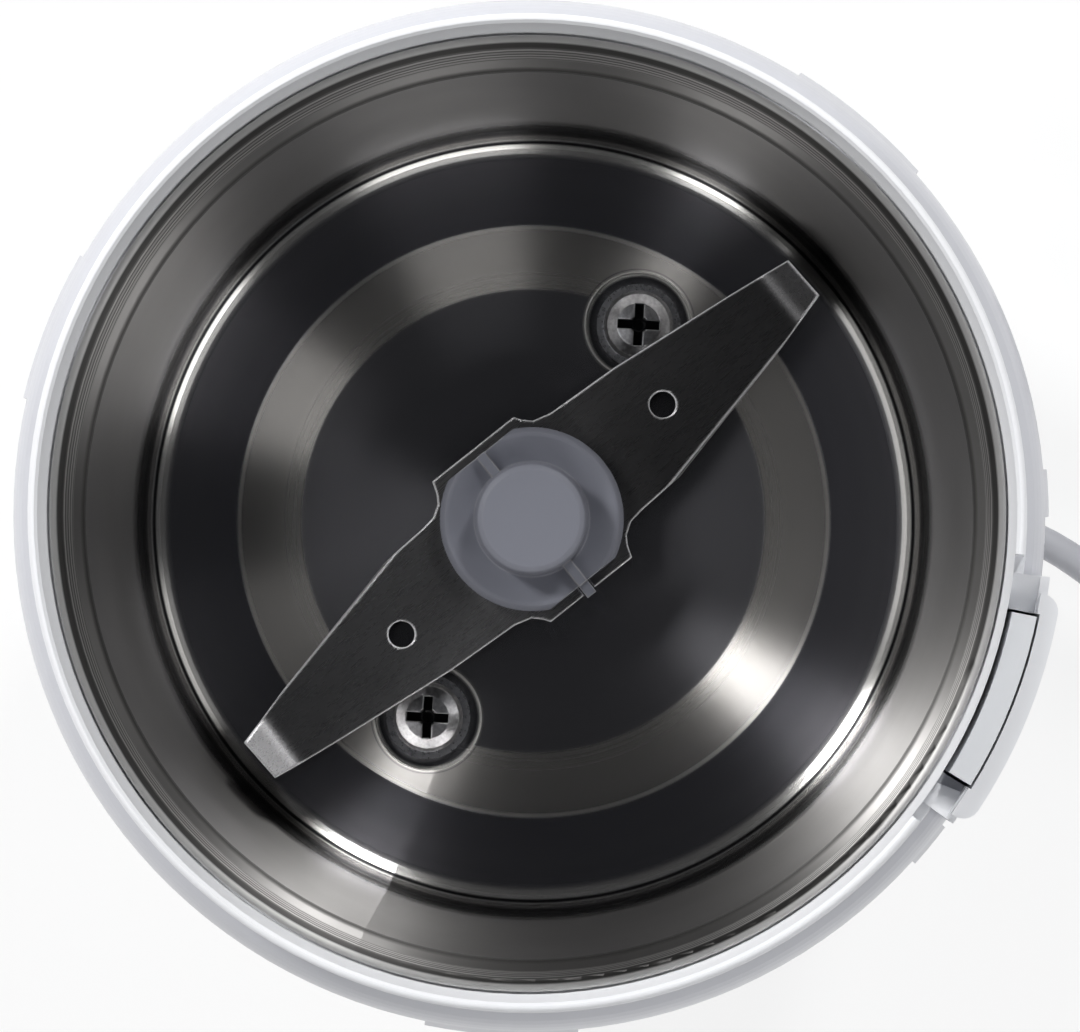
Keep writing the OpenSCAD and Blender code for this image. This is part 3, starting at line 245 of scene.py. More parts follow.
def moulded_ring_shaded_shoulder(name, ring, shoulder_shade, roughness):
    """The lid ring's plastic: the shoulder under the ring is the same white plastic, painted darker as
    the shade on its sideways face.
    """
    material = moulded_plastic(name, darker(ring, share=0.96), ring, roughness)
    tree, shader = material.node_tree, shader_of(material)
    shade_below_ring = add_node(tree, "ShaderNodeMapRange", i0=object_axes(tree)["Z"],
                     i1=(RING_FOOT_MM + RING_FADE_MM[1]) * MM,
                     i2=(RING_FOOT_MM - RING_FADE_MM[0]) * MM)
    # Painted shade: below the ring's foot the shoulder takes the darker colour
    paint_over(tree, shader, shade_below_ring.outputs["Result"], as_colour(shoulder_shade))
    return material


# Spun bowl below its wall, by radius in millimetres: colour, which paints the bright and dark reflections
# of the raised middle, the cone and the floor ring, and roughness
BOWL_REFLECTION_ZONES = [
    # raised middle
    (0.0, "#8c8c93", 0.24),
    (21.3, "#85858b", 0.22),
    # cone round it, painted lighter as its reflection, with a painted highlight along its outer edge
    (21.7, "#c7c6c4", 0.27),
    (27.2, "#c2c1c0", 0.25),
    (27.45, "#f0efec", 0.4),
    # floor
    (27.8, "#7c7c83", 0.2),
    (34.0, "#85858b", 0.2),
    # floor ring: a painted highlight, with painted dark reflections at its foot
    (34.6, "#dcdad7", 0.24),
    (35.15, "#d2d0cc", 0.24),
    (35.28, "#38383a", 0.2),
    (35.48, "#38383a", 0.2),
    (35.62, "#c5c3bf", 0.2),
    (35.95, "#b3b0ac", 0.2),
    (36.15, "#4a4a4b", 0.22),
    (37.0, "#6b6a68", 0.22),
    (40.0, "#6b6a68", 0.22),
]
# Heights between which the floor's zones give way to the wall
BOWL_FLOOR_M = (0.0835, 0.0875)

# Pressed wells of the two screws: their middles, colours by distance in millimetres, which paint shade
# down each well and a highlight on its lip, and the distance and half the width of each well's lip
WELL_MIDDLES = [(0.02056, -0.002415, 0), (-0.02056, 0.002415, 0)]
WELL_SHADE_AND_HIGHLIGHT = [(0.0, "#cfcfd2"), (4.0, "#8a8a8e"), (4.55, "#55555a"), (4.75, "#f4f3f0"),
              (5.05, "#f4f3f0"), (5.3, "#66666b"), (5.9, "#ffffff")]
WELL_EDGE_M = WELL_SHADE_AND_HIGHLIGHT[-2][0] * MM
WELL_LIP_M = (0.0049, 0.00014)
LIP_METALLIC = 0.35

# Painted lines of reflected light and shade on the upper wall and the rolled rim: height in millimetres,
# share of the wall's light
RIM_PAINTED_LINES = [(110.5, 1.0), (111.7, 1.0), (111.9, 0.35), (112.5, 0.35), (112.8, 0.8), (113.6, 0.8),
             (113.8, 0.3), (114.2, 0.3), (114.5, 0.9), (115.6, 0.8), (115.9, 0.25), (116.4, 0.25),
             (116.7, 1.2), (117.2, 1.2), (117.5, 0.25), (118.2, 0.25), (118.5, 0.8), (119.5, 0.8),
             (119.8, 0.2), (120.4, 0.2), (120.7, 1.1), (121.6, 1.1), (121.9, 0.25), (122.3, 0.25),
             (122.5, 0.3), (123.5, 0.3)]
# How much rougher the darkest line is than the wall, and the shares of light that get none and all
# of that
LINE_ROUGHNESS = 0.35
LINE_SHARES = (1.0, 0.2)
# Depth in millimetres of the lathe's fine rings, drawn deeper than real ones so that they show, and
# how much they change the gloss
RINGS_DEPTH_MM = 0.004
RINGS_GLOSS = 0.03
# Heights between which the wall turns into the duller upper wall and rim
RIM_TOP_M = (0.1133, 0.1136)
RIM_ROUGHNESS = 0.62
# The rolled rim's painted highlight along its crown, by radius
RIM_HIGHLIGHT_M = (0.04015, 0.0403)
RIM_HIGHLIGHT_COLOUR = "#ebeae8"


def on_plan(tree, axes):
    """A place on the object seen from above."""
    return add_node(tree, "ShaderNodeCombineXYZ", X=axes["X"], Y=axes["Y"]).outputs["Vector"]


def well_distance(tree, plan):
    """Distance on the plan to the middle of the nearer screw well."""
    first, second = [add_node(tree, "ShaderNodeVectorMath", {"operation": "DISTANCE"}, i0=plan,
                              i1=middle).outputs["Value"] for middle in WELL_MIDDLES]
    return add_node(tree, "ShaderNodeMath", {"operation": "MINIMUM"}, i0=first,
                    i1=second).outputs["Value"]


def steel_spun(name, light, wall_rough, anisotropy, line_mm):
    """Stainless steel polished on a lathe: fine rings about the axis, so that its highlights fan out
    across them. Its floor, upper wall, rim and wells also carry painted reflections, highlights and
    shade."""
    material = new_material(name, light, 1.0, wall_rough, Anisotropic=anisotropy,
                            Anisotropic_Rotation=0.25)
    tree, shader = material.node_tree, shader_of(material)
    axes = object_axes(tree)
    plan = on_plan(tree, axes)
    radius = add_node(tree, "ShaderNodeVectorMath", {"operation": "LENGTH"}, i0=plan).outputs["Value"]
    to_well = well_distance(tree, plan)
    wall = add_node(tree, "ShaderNodeMapRange", i0=axes["Z"], i1=BOWL_FLOOR_M[0],
                    i2=BOWL_FLOOR_M[1]).outputs["Result"]
    # Painted lines of reflected light and shade up the wall and rim, by height
    turned = by_distance(tree, axes["Z"], RIM_PAINTED_LINES)

    # Colour: the floor's zones of painted reflection, the clouded wall with its painted lines of
    # reflected light and shade, the rim's painted highlight, the wells' painted shade and highlight
    cloud = add_node(tree, "ShaderNodeValToRGB", Fac=object_noise(tree, CLOUD_PER_M, 3),
                     stops=[(NOISE_SPAN[0], darker(light, share=0.9)), (NOISE_SPAN[1], light)])
    # Painted reflections and highlights on the floor, cone and floor ring, by radius
    painted_floor_reflections = by_distance(tree, radius, [(mm, colour) for mm, colour, _ in BOWL_REFLECTION_ZONES])
    body = add_node(tree, "ShaderNodeMix", {"data_type": "RGBA"}, i0=wall, i6=painted_floor_reflections,
                    i7=cloud.outputs["Color"])
    lined = add_node(tree, "ShaderNodeMix", {"data_type": "RGBA", "blend_type": "MULTIPLY"}, i0=1.0,
                     i6=body.outputs[2], i7=turned)
    tree.links.new(lined.outputs[2], shader.inputs["Base Color"])
    # Painted highlight on the rolled rim's crown
    rim_highlight = add_node(tree, "ShaderNodeMapRange", i0=radius, i1=RIM_HIGHLIGHT_M[0], i2=RIM_HIGHLIGHT_M[1])
    paint_over(tree, shader, rim_highlight.outputs["Result"], linear(RIM_HIGHLIGHT_COLOUR))
    # Painted shade down the wells' sides and a painted highlight on their lips
    inside = add_node(tree, "ShaderNodeMath", {"operation": "LESS_THAN"}, i0=to_well, i1=WELL_EDGE_M)
    paint_over(tree, shader, inside.outputs["Value"], by_distance(tree, to_well, WELL_SHADE_AND_HIGHLIGHT))

    # The wells' lips scatter light instead of mirroring it, so that their painted highlight shows
    lip = add_node(tree, "ShaderNodeMath", {"operation": "COMPARE"}, i0=to_well, i1=WELL_LIP_M[0],
                   i2=WELL_LIP_M[1])
    lip_scatter = add_node(tree, "ShaderNodeMapRange", i0=lip.outputs["Value"], i3=1.0, i4=LIP_METALLIC)
    tree.links.new(lip_scatter.outputs["Result"], shader.inputs["Metallic"])

    # Roughness: the same zones, the painted lines, the rim, and the lathe's fine rings over all
    gloss = by_distance(tree, radius, [(mm, rough) for mm, _, rough in BOWL_REFLECTION_ZONES])
    low = add_node(tree, "ShaderNodeMix", {"data_type": "FLOAT"}, i0=wall, i2=gloss, i3=wall_rough)
    dull = add_node(tree, "ShaderNodeMapRange", i0=turned, i1=LINE_SHARES[0], i2=LINE_SHARES[1],
                    i3=0.0, i4=LINE_ROUGHNESS)
    lines_too = add_node(tree, "ShaderNodeMath", {"operation": "ADD"}, i0=low.outputs[0],
                         i1=dull.outputs["Result"])
    rolled = add_node(tree, "ShaderNodeMapRange", i0=axes["Z"], i1=RIM_TOP_M[0], i2=RIM_TOP_M[1])
    level = add_node(tree, "ShaderNodeMix", {"data_type": "FLOAT"}, i0=rolled.outputs["Result"],
                     i2=lines_too.outputs["Value"], i3=RIM_ROUGHNESS)
    around = add_node(tree, "ShaderNodeCombineXYZ", X=radius, Y=axes["Z"])
    rings = add_node(tree, "ShaderNodeTexNoise", Vector=around.outputs["Vector"],
                     Scale=1 / (line_mm * MM), Detail=3.0, Roughness=0.6).outputs["Fac"]
    uneven = add_node(tree, "ShaderNodeMapRange", i0=rings, i3=-RINGS_GLOSS, i4=RINGS_GLOSS)
    rough = add_node(tree, "ShaderNodeMath", {"operation": "ADD"}, i0=level.outputs[0],
                     i1=uneven.outputs["Result"])
    tree.links.new(rough.outputs["Value"], shader.inputs["Roughness"])
    bump(tree, shader, rings, RINGS_DEPTH_MM, strength=0.12)
    tangent = add_node(tree, "ShaderNodeTangent", {"direction_type": "RADIAL", "axis": "Z"})
    tree.links.new(tangent.outputs["Tangent"], shader.inputs["Tangent"])
    return material


# One arm of the blade is painted darker, as shade, the other left as it is: half the length over which
# their tones blend, and the tones
ARM_BLEND_M = 0.012
ARM_SHADE_TONES = ("#ffffff", "#a6a6a6")


def steel_ground(name, dark, light, roughness, turn_deg):
    """Blade steel rolled and ground along its length: straight scratches, small dark flecks, bright edges
    painted as highlights along with wear, and one arm painted darker as shade."""
    material = new_material(name, light, 1.0, roughness, Anisotropic=0.5)
    tree, shader = material.node_tree, shader_of(material)
    place = add_node(tree, "ShaderNodeTexCoord")
    turn = add_node(tree, "ShaderNodeMapping", {"vector_type": "TEXTURE"},
                    Vector=place.outputs["Object"],
                    Rotation=(0, 0, math.radians(turn_deg))).outputs["Vector"]
    squeeze = add_node(tree, "ShaderNodeMapping", Vector=turn, Scale=(SCRATCH_ALONG, 1.0, 1.0))
    lines = add_node(tree, "ShaderNodeTexNoise", Vector=squeeze.outputs["Vector"],
                     Scale=SCRATCH_PER_M, Detail=3.0, Roughness=0.6).outputs["Fac"]
    fleck = add_node(tree, "ShaderNodeTexNoise", Vector=turn, Scale=FLECK_PER_M, Detail=6.0,
                     Roughness=0.7)
    cloudy = add_node(tree, "ShaderNodeValToRGB", stops=[(0.1, dark), (0.9, light)],
                      Fac=fleck.outputs["Fac"])
    along = add_node(tree, "ShaderNodeSeparateXYZ", Vector=turn)
    arm = add_node(tree, "ShaderNodeMapRange", i0=along.outputs["X"], i1=-ARM_BLEND_M, i2=ARM_BLEND_M)
    # Painted shade: one arm darker than the other
    arm_shade = add_node(tree, "ShaderNodeValToRGB", stops=[(0.0, ARM_SHADE_TONES[0]), (1.0, ARM_SHADE_TONES[1])],
                      Fac=arm.outputs["Result"])
    paint = add_node(tree, "ShaderNodeMix", {"data_type": "RGBA", "blend_type": "MULTIPLY"}, i0=1.0,
                     i6=cloudy.outputs["Color"], i7=arm_shade.outputs["Color"])
    tree.links.new(paint.outputs[2], shader.inputs["Base Color"])
    gloss_by(tree, shader, lines, roughness, smoother=0.04, rougher=0.06)
    bump(tree, shader, lines, depth_mm=0.004, strength=0.3, edge=(0.42, "#f6f6f8"))
    return material


def metal(name, dark, light, roughness, grain_mm=0.4, depth_mm=0.004, edge=None):
    """Plain plated, cast or sintered metal with an uneven surface, drawn coarse enough to show."""
    material = new_material(name, light, 1.0, roughness)
    tree, shader = material.node_tree, shader_of(material)
    grain = object_noise(tree, 1 / (grain_mm * MM), 4)
    colour_by(tree, shader, grain, dark, light)
    gloss_by(tree, shader, grain, roughness, smoother=0.05, rougher=0.1)
    bump(tree, shader, grain, depth_mm, strength=0.5, edge=edge)
    return material


# Painted shade in the cross recess of the bowl's screws: the heights between which it is painted dark,
# its radius and its colour
CROSS_SHADE_M = (0.0839, 0.0832)
CROSS_RADIUS_M = 0.00202
CROSS_SHADE_COLOUR = "#1c1c1e"


def cross_head(material):
    """The bowl's screws: their cross recess is painted dark as shade under a bright head."""
    tree, shader = material.node_tree, shader_of(material)
    axes = object_axes(tree)
    depth = add_node(tree, "ShaderNodeMapRange", i0=axes["Z"], i1=CROSS_SHADE_M[0],
                     i2=CROSS_SHADE_M[1])
    inner = add_node(tree, "ShaderNodeMath", {"operation": "LESS_THAN"},
                     i0=well_distance(tree, on_plan(tree, axes)), i1=CROSS_RADIUS_M)
    recess_shade = add_node(tree, "ShaderNodeMath", {"operation": "MULTIPLY"}, i0=inner.outputs["Value"],
                      i1=depth.outputs["Result"])
    # Painted shade inside the cross recess
    paint_over(tree, shader, recess_shade.outputs["Value"], linear(CROSS_SHADE_COLOUR))
    return material


# Distance between the bands of a Wave texture of scale 1
WAVE_BAND_M = 0.314


def banded(name, dark, light, metallic, roughness, pitch_mm, depth_mm):
    """Layers along Z, such as stacked sheets or wound wire."""
    material = new_material(name, light, metallic, roughness)
    tree, shader = material.node_tree, shader_of(material)
    place = add_node(tree, "ShaderNodeTexCoord")
    wave = add_node(tree, "ShaderNodeTexWave", {"wave_type": "BANDS", "bands_direction": "Z"},
                    Vector=place.outputs["Object"], Scale=WAVE_BAND_M / (pitch_mm * MM),
                    Distortion=0.4).outputs["Fac"]
    colour_by(tree, shader, wave, dark, light, span=(0.1, 0.8))
    bump(tree, shader, wave, depth_mm, strength=0.8)
    return material


def make_finishes(colours):
    """Every finish, by the record's slot name."""
    return {
        # white ABS, gloss moulded: soft highlights on the round shoulder, which is painted darker as
        # shade
        "collar_plastic": moulded_ring_shaded_shoulder("ABS_moulded_white", colours.ring, colours.shoulder_shade,
                                       roughness=0.3),
        # grey-white ABS of the body, a little duller than the ring
        "housing_plastic": moulded_plastic("ABS_moulded_pale_grey", "#cacbd0", "#cfd0d5",
                                           roughness=0.36),
        # polypropylene slides well in the slot, and looks slightly waxy
        "rod_plastic": moulded_plastic("Polypropylene_pale", "#e6e8eb", "#eff1f4", roughness=0.38),
        # glass-filled nylon: mid grey and dull, with pale edges, painted as highlights along with wear
        "hub_plastic": moulded_plastic("Nylon_glass_filled_grey", darker(colours.hub, share=0.88),
                                       colours.hub, roughness=0.5, grain_mm=0.3, depth_mm=0.008,
                                       edge=(0.22, "#a5a5a8")),
        # unpigmented nylon: cream, softly glossy
        "nylon": moulded_plastic("Nylon_natural", "#cfccbd", "#dcd9cb", roughness=0.45),
        # phenolic of the snap switch: black with a dull sheen
        "switch_black": moulded_plastic("Phenolic_black", "#141414", "#1f1f1f", roughness=0.45),
        # acetal and insulation: strong red, smooth
        "switch_red": moulded_plastic("Acetal_red", "#8c1a12", "#a02018", roughness=0.4),
        # pressed carbon: almost black, matt
        "carbon": moulded_plastic("Carbon_pressed", "#111111", "#1d1d1d", roughness=0.6),
        # moulded rubber: black and matt, with a coarse grain
        "dark_rubber": moulded_plastic("Rubber_moulded_black", "#1a1a1b", "#242425", roughness=0.7,
                                       grain_mm=0.5, depth_mm=0.02),
        # soft vinyl sheath: even grey, satin
        "cord_vinyl": moulded_plastic("Vinyl_sheath_grey", darker(colours.lead, share=0.92),
                                      colours.lead, roughness=0.48, grain_mm=0.6, depth_mm=0.01),
        # spun stainless bowl: dark mirror floor with painted reflected rings, wedges of light on its
        # wall, painted lines and a painted highlight at its rim
        "bowl_steel": steel_spun("Stainless_spun", colours.bowl, wall_rough=0.36, anisotropy=0.97,
                                 line_mm=0.16),
        # ground stainless blade: dark grey with bright edges painted as highlights along with wear, one
        # arm painted darker as shade, its scratches along the arms
        "blade_steel": steel_ground("Stainless_ground", "#8f8e8f", "#a8a7a9", roughness=0.27,
                                    turn_deg=150.1),
        # nickel plating: bright and slightly cloudy
        "screw_steel": metal("Steel_nickel_plated", "#c6c6ca", "#e2e2e6", roughness=0.26),
        # drawn or pressed steel: mid grey, glossy
        "plated_steel": metal("Spring_steel", "#8a8a8d", "#a6a6aa", roughness=0.28),
        # turned brass: warm yellow, glossy
        "brass": metal("Brass_turned", "#a8843f", "#c49b50", roughness=0.3),
        # the plug's blades: nickel with a touch of the brass below
        "plated_brass": metal("Brass_nickel_plated", "#b9b7b0", "#cfcdc7", roughness=0.22),
        # oil-filled sintered bronze: brown, dull, with fine pores
        "bronze": metal("Bronze_sintered", "#7a5a33", "#93703f", roughness=0.5, grain_mm=0.25,
                        depth_mm=0.02),
        # zinc as cast: grey skin, dull and uneven
        "zinc_casting": metal("Zinc_die_cast", "#84868a", "#9a9ca0", roughness=0.46, grain_mm=0.8,
                              depth_mm=0.02),
        # stamped sheets, stacked: dark grey with a line at every sheet
        "lamination_steel": banded("Electrical_steel_stack", "#3c3c3e", "#5c5c5f", metallic=1.0,
                                   roughness=0.45, pitch_mm=0.5, depth_mm=0.03),
        # enamelled wire, wound: red-brown turns under clear enamel
        "copper_wire": banded("Copper_enamelled", "#5b2512", "#a2502a", metallic=0.6,
                              roughness=0.3, pitch_mm=0.45, depth_mm=0.1),
        # bare copper bars, polished by the brushes
        "copper_bar": metal("Copper_bars", "#a86a48", "#c08058", roughness=0.3),
    }


# Filled by the finishes operator
FINISHES = {}


def finish_nodes(*names):
    """Gives each named CAD node the finish of its slot in the record."""
    slots = {part["node"]: part["material_slot"] for part in frame["record"]["subparts"]}
    for name in names:
        data = NODES[name].data
        data.materials.clear()
        data.materials.append(FINISHES[slots[name]])


def soften_edges(name, width_m, angle_deg=28):
    """Rounds the sharp edges of a CAD node with live modifiers, which leave its mesh as it is."""
    obj = NODES[name]
    weld = obj.modifiers.new("weld", "WELD")
    weld.merge_threshold = WELD_M
    bevel = obj.modifiers.new("edges", "BEVEL")
    bevel.limit_method = "ANGLE"
    bevel.angle_limit = math.radians(angle_deg)
    bevel.width = width_m
    bevel.segments = 2
    bevel.use_clamp_overlap = True
    bevel.harden_normals = True


class GRINDER_PG_sizes(PropertyGroup):
    """Sizes of the lead, its tie and the rounded edges"""

    cord_width: FloatProperty(
        name="Lead Width", description="Width of the flat mains lead across its two cores",
        default=0.0054, min=0.004, max=0.0058, subtype="DISTANCE", unit="LENGTH", precision=5)
    cord_thick: FloatProperty(
        name="Lead Thickness", description="Thickness of the flat mains lead",
        default=0.0032, min=0.0028, max=0.0034, subtype="DISTANCE", unit="LENGTH", precision=5)
    tie_width: FloatProperty(
        name="Tie Width", description="Width of the strap that holds the coil together",
        default=0.006, min=0.004, max=0.01, subtype="DISTANCE", unit="LENGTH", precision=5)
    tie_thick: FloatProperty(
        name="Tie Thickness", description="Thickness of that strap",
        default=0.0005, min=0.0004, max=0.0012, subtype="DISTANCE", unit="LENGTH", precision=5)
    edge_round: FloatProperty(
        name="Hub Edge Rounding", description="Rounding drawn on the moulded hub's sharp edges",
        default=0.00015, min=0.0, max=0.0003, subtype="DISTANCE", unit="LENGTH", precision=5)


class GRINDER_PG_colours(PropertyGroup):
    """Colours of the moulded pieces and the bowl"""

    ring: FloatVectorProperty(
        name="Ring", description="Colour of the moulded ring that takes the lid",
        default=linear("#eeeff2"), size=4, min=0, max=1, subtype="COLOR")
    # Painted shade: the shoulder is the ring's white plastic, drawn in this darker colour for the shade
    # on its sideways face
    shoulder_shade: FloatVectorProperty(
        name="Shoulder", description="Colour of the moulded shoulder under the ring",
        default=linear("#cdced4"), size=4, min=0, max=1, subtype="COLOR")
    hub: FloatVectorProperty(
        name="Hub", description="Colour of the blade's moulded hub",
        default=linear("#888a95"), size=4, min=0, max=1, subtype="COLOR")
    bowl: FloatVectorProperty(
        name="Bowl Wall", description="Colour of the spun steel wall",
        default=linear("#b4b2b0"), size=4, min=0, max=1, subtype="COLOR")
    lead: FloatVectorProperty(
        name="Lead", description="Colour of the lead's vinyl sheath",
        default=linear("#c2c3c9"), size=4, min=0, max=1, subtype="COLOR")


# ---------------------------------------------------------------- modelling by hand


def deselect_all():
    if bpy.context.object and bpy.context.object.mode != "OBJECT":
        bpy.ops.object.mode_set(mode="OBJECT")
    bpy.ops.object.select_all(action="DESELECT")


def activate(obj):
    """Makes an object the active and only selected one."""
    deselect_all()
    obj.select_set(True)
    bpy.context.view_layer.objects.active = obj


def edit_all(obj, operator, **settings):
    """Runs one mesh operator on a whole object."""
    activate(obj)
    bpy.ops.object.mode_set(mode="EDIT")
    bpy.ops.mesh.select_all(action="SELECT")
    operator(**settings)
    bpy.ops.object.mode_set(mode="OBJECT")


def turned_block(place, size, angle):
    """A block at its place and of its size in millimetres, turned about Z."""
    deselect_all()
    bpy.ops.mesh.primitive_cube_add(size=1, location=[c * MM for c in place], rotation=(0, 0, angle))
    made = bpy.context.object
    made.scale = [c * MM for c in size]
    bpy.ops.object.transform_apply(location=False, rotation=False, scale=True)
    return made


# A face looks along an axis if that part of its normal is above this
SQUARE_ON = 0.9


def open_ends(obj):
    """Takes away a block's two faces across its own Y."""
    activate(obj)
    bpy.ops.object.mode_set(mode="EDIT")
    bpy.ops.mesh.select_mode(type="FACE")
    bpy.ops.mesh.select_all(action="DESELECT")
    mesh = bmesh.from_edit_mesh(obj.data)
    for face in mesh.faces:
        face.select_set(abs(face.normal.y) > SQUARE_ON)
    bmesh.update_edit_mesh(obj.data)
    bpy.ops.mesh.delete(type="ONLY_FACE")
    bpy.ops.object.mode_set(mode="OBJECT")


def round_edges(obj, test, width_mm, segments):
    """Rounds the edges whose two ends pass the test."""
    activate(obj)
    bpy.ops.object.mode_set(mode="EDIT")
    bpy.ops.mesh.select_mode(type="EDGE")
    bpy.ops.mesh.select_all(action="DESELECT")
    mesh = bmesh.from_edit_mesh(obj.data)
    for edge in mesh.edges:
        edge.select_set(test(*edge.verts))
    mesh.select_flush_mode()
    bmesh.update_edit_mesh(obj.data)
    bpy.ops.mesh.bevel(offset=width_mm * MM, segments=segments, affect="EDGES")
    bpy.ops.object.mode_set(mode="OBJECT")


def add_modifier(obj, kind, **settings):
    """Adds a modifier and applies it."""
    activate(obj)
    modifier = obj.modifiers.new(kind.lower(), kind)
    for key, value in settings.items():
        setattr(modifier, key, value)
    bpy.ops.object.modifier_apply(modifier=modifier.name)


def smooth(obj, angle_deg):
    """Shades an object smooth, apart from edges sharper than the angle."""
    activate(obj)
    bpy.ops.object.shade_smooth_by_angle(angle=math.radians(angle_deg))


# ---------------------------------------------------------------- the flat lead

# The route's points repeat part.scad's, in millimetres
CORD_ROUTE = [(-18.9, 46.7, 10.6), (-18.87, 48.6, 10.58), (-18.69, 50.8, 10.44), (-18.31, 53.2, 10.15),
              (-17.65, 56, 9.62), (-16.78, 59.5, 8.67), (-15.65, 64, 7.15), (-14.28, 69.5, 5.28),
              (-12.65, 76, 3.46), (-10.9, 83, 2.72)]
COIL_CENTRE = (-49.23, 92.6)
COIL_START_DEG = -14.0
COIL_OUTER = 39.5
COIL_PITCH = 3.4
COIL_TURNS = 4
TAIL_ROUTE = [(-24.13, 86.3, 2.7), (-23.33, 91.2, 2.9), (-23.53, 96.1, 3.7), (-24.63, 100.8, 5.1),
              (-26.63, 105.3, 6.7), (-29.43, 109.3, 8.1), (-34.23, 114.9, 9.5), (-38.93, 120.5, 10.3),
              (-44.93, 125.7, 10.9), (-52.43, 129.6, 11.4), (-60.83, 131.8, 11.7),
              (-69.13, 131.8, 11.9), (-76.93, 128.9, 11.9), (-83.33, 123.6, 11.9),
              (-87.43, 116.3, 11.9), (-88.93, 108.1, 11.9), (-87.43, 99.9, 11.9), (-83.33, 92.7, 11.9)]
# Points in each turn of the coil, between two points of a route, and round the lead's section
POINTS_PER_TURN = 20
POINTS_PER_SPAN = 24
POINTS_ROUND = 24
# Length of each stretch of the swept lead
LEAD_STEP = 2.0
# The groove between the cores: share of the thickness that it takes, and its reach
GROOVE_SHARE = 0.16
GROOVE_REACH = 0.55
LEAD_SMOOTH_DEG = 50


def smooth_route(points, step):
    """Even points along a Catmull-Rom curve through the given ones."""
    pts = [Vector(p) for p in points]
    pts = [2 * pts[0] - pts[1]] + pts + [2 * pts[-1] - pts[-2]]
    dense = []
    for i in range(1, len(pts) - 2):
        p0, p1, p2, p3 = pts[i - 1:i + 3]
        for k in range(POINTS_PER_SPAN):
            t = k / POINTS_PER_SPAN
            dense.append(0.5 * ((2 * p1) + (p2 - p0) * t + (2 * p0 - 5 * p1 + 4 * p2 - p3) * t * t
                                + (3 * p1 - p0 - 3 * p2 + p3) * t ** 3))
    dense.append(pts[-2])
    lengths = [0.0]
    for a, b in zip(dense, dense[1:]):
        lengths.append(lengths[-1] + (b - a).length)
    count = max(2, round(lengths[-1] / step))
    even, j = [], 0
    for n in range(count + 1):
        want = lengths[-1] * n / count
        while j < len(lengths) - 2 and lengths[j + 1] < want:
            j += 1
        span = lengths[j + 1] - lengths[j] or 1
        even.append(dense[j].lerp(dense[j + 1], (want - lengths[j]) / span))
    return even


def coil_place(radius, angle):
    """A place on the floor at a radius and angle from the coil's middle."""
    return (COIL_CENTRE[0] + radius * math.cos(angle), COIL_CENTRE[1] + radius * math.sin(angle))


def coil_points(width):
    """Flat spiral wound inwards, turn beside turn, standing on the lead's narrow edge."""
    out = []
    for i in range(1, COIL_TURNS * POINTS_PER_TURN):
        turns = i / POINTS_PER_TURN
        angle = math.radians(COIL_START_DEG + 360 * turns)
        out.append((*coil_place(COIL_OUTER - COIL_PITCH * turns, angle), width / 2))
    return out


def lead_section(width, thick):
    """Two round cores side by side with a groove between them, narrow side first."""
    core = thick / 2
    shift = (width - thick) / 2
    ring = []
    for i in range(POINTS_ROUND):
        a = math.radians(360 / POINTS_ROUND * (i + 0.5))
        x, y = core * math.cos(a), core * math.sin(a)
        y += shift if y > 0 else -shift
        waist = 1 - GROOVE_SHARE * math.exp(-(y / GROOVE_REACH) ** 2)
        ring.append((x * waist, y))
    return ring


def sweep_tube(name, path, section):
    """A closed tube that follows path, in millimetres, with its section's second axis kept upright."""
    up = Vector((0, 0, 1))
    mesh_points, faces = [], []
    n, m = len(path), len(section)
    for i, p in enumerate(path):
        t = (path[min(i + 1, n - 1)] - path[max(i - 1, 0)]).normalized()
        side = up.cross(t).normalized()
        rise = t.cross(side)
        mesh_points += [(p + side * x + rise * y) * MM for x, y in section]
    for i in range(n - 1):
        for j in range(m):
            k = (j + 1) % m
            faces.append((i * m + j, i * m + k, (i + 1) * m + k, (i + 1) * m + j))
    faces.append(tuple(reversed(range(m))))
    faces.append(tuple(range((n - 1) * m, n * m)))
    mesh = bpy.data.meshes.new(name)
    mesh.from_pydata(mesh_points, [], faces)
    obj = bpy.data.objects.new(name, mesh)
    bpy.context.collection.objects.link(obj)
    edit_all(obj, bpy.ops.mesh.normals_make_consistent, inside=False)
    smooth(obj, LEAD_SMOOTH_DEG)
    return obj


# The strap that holds the coil, in millimetres: where it sits, the space between the turns and its
# inside, its corners, and its end, which lies on top
TIE_DEG = 285
TIE_SLACK = 0.1
TIE_CORNER = 1.5
TIE_EDGE = 0.15
TIE_SMOOTH_DEG = 40
TIE_TAIL = 9.0
TIE_TAIL_SHARE = 0.8
TIE_TAIL_CORNER = 2.0


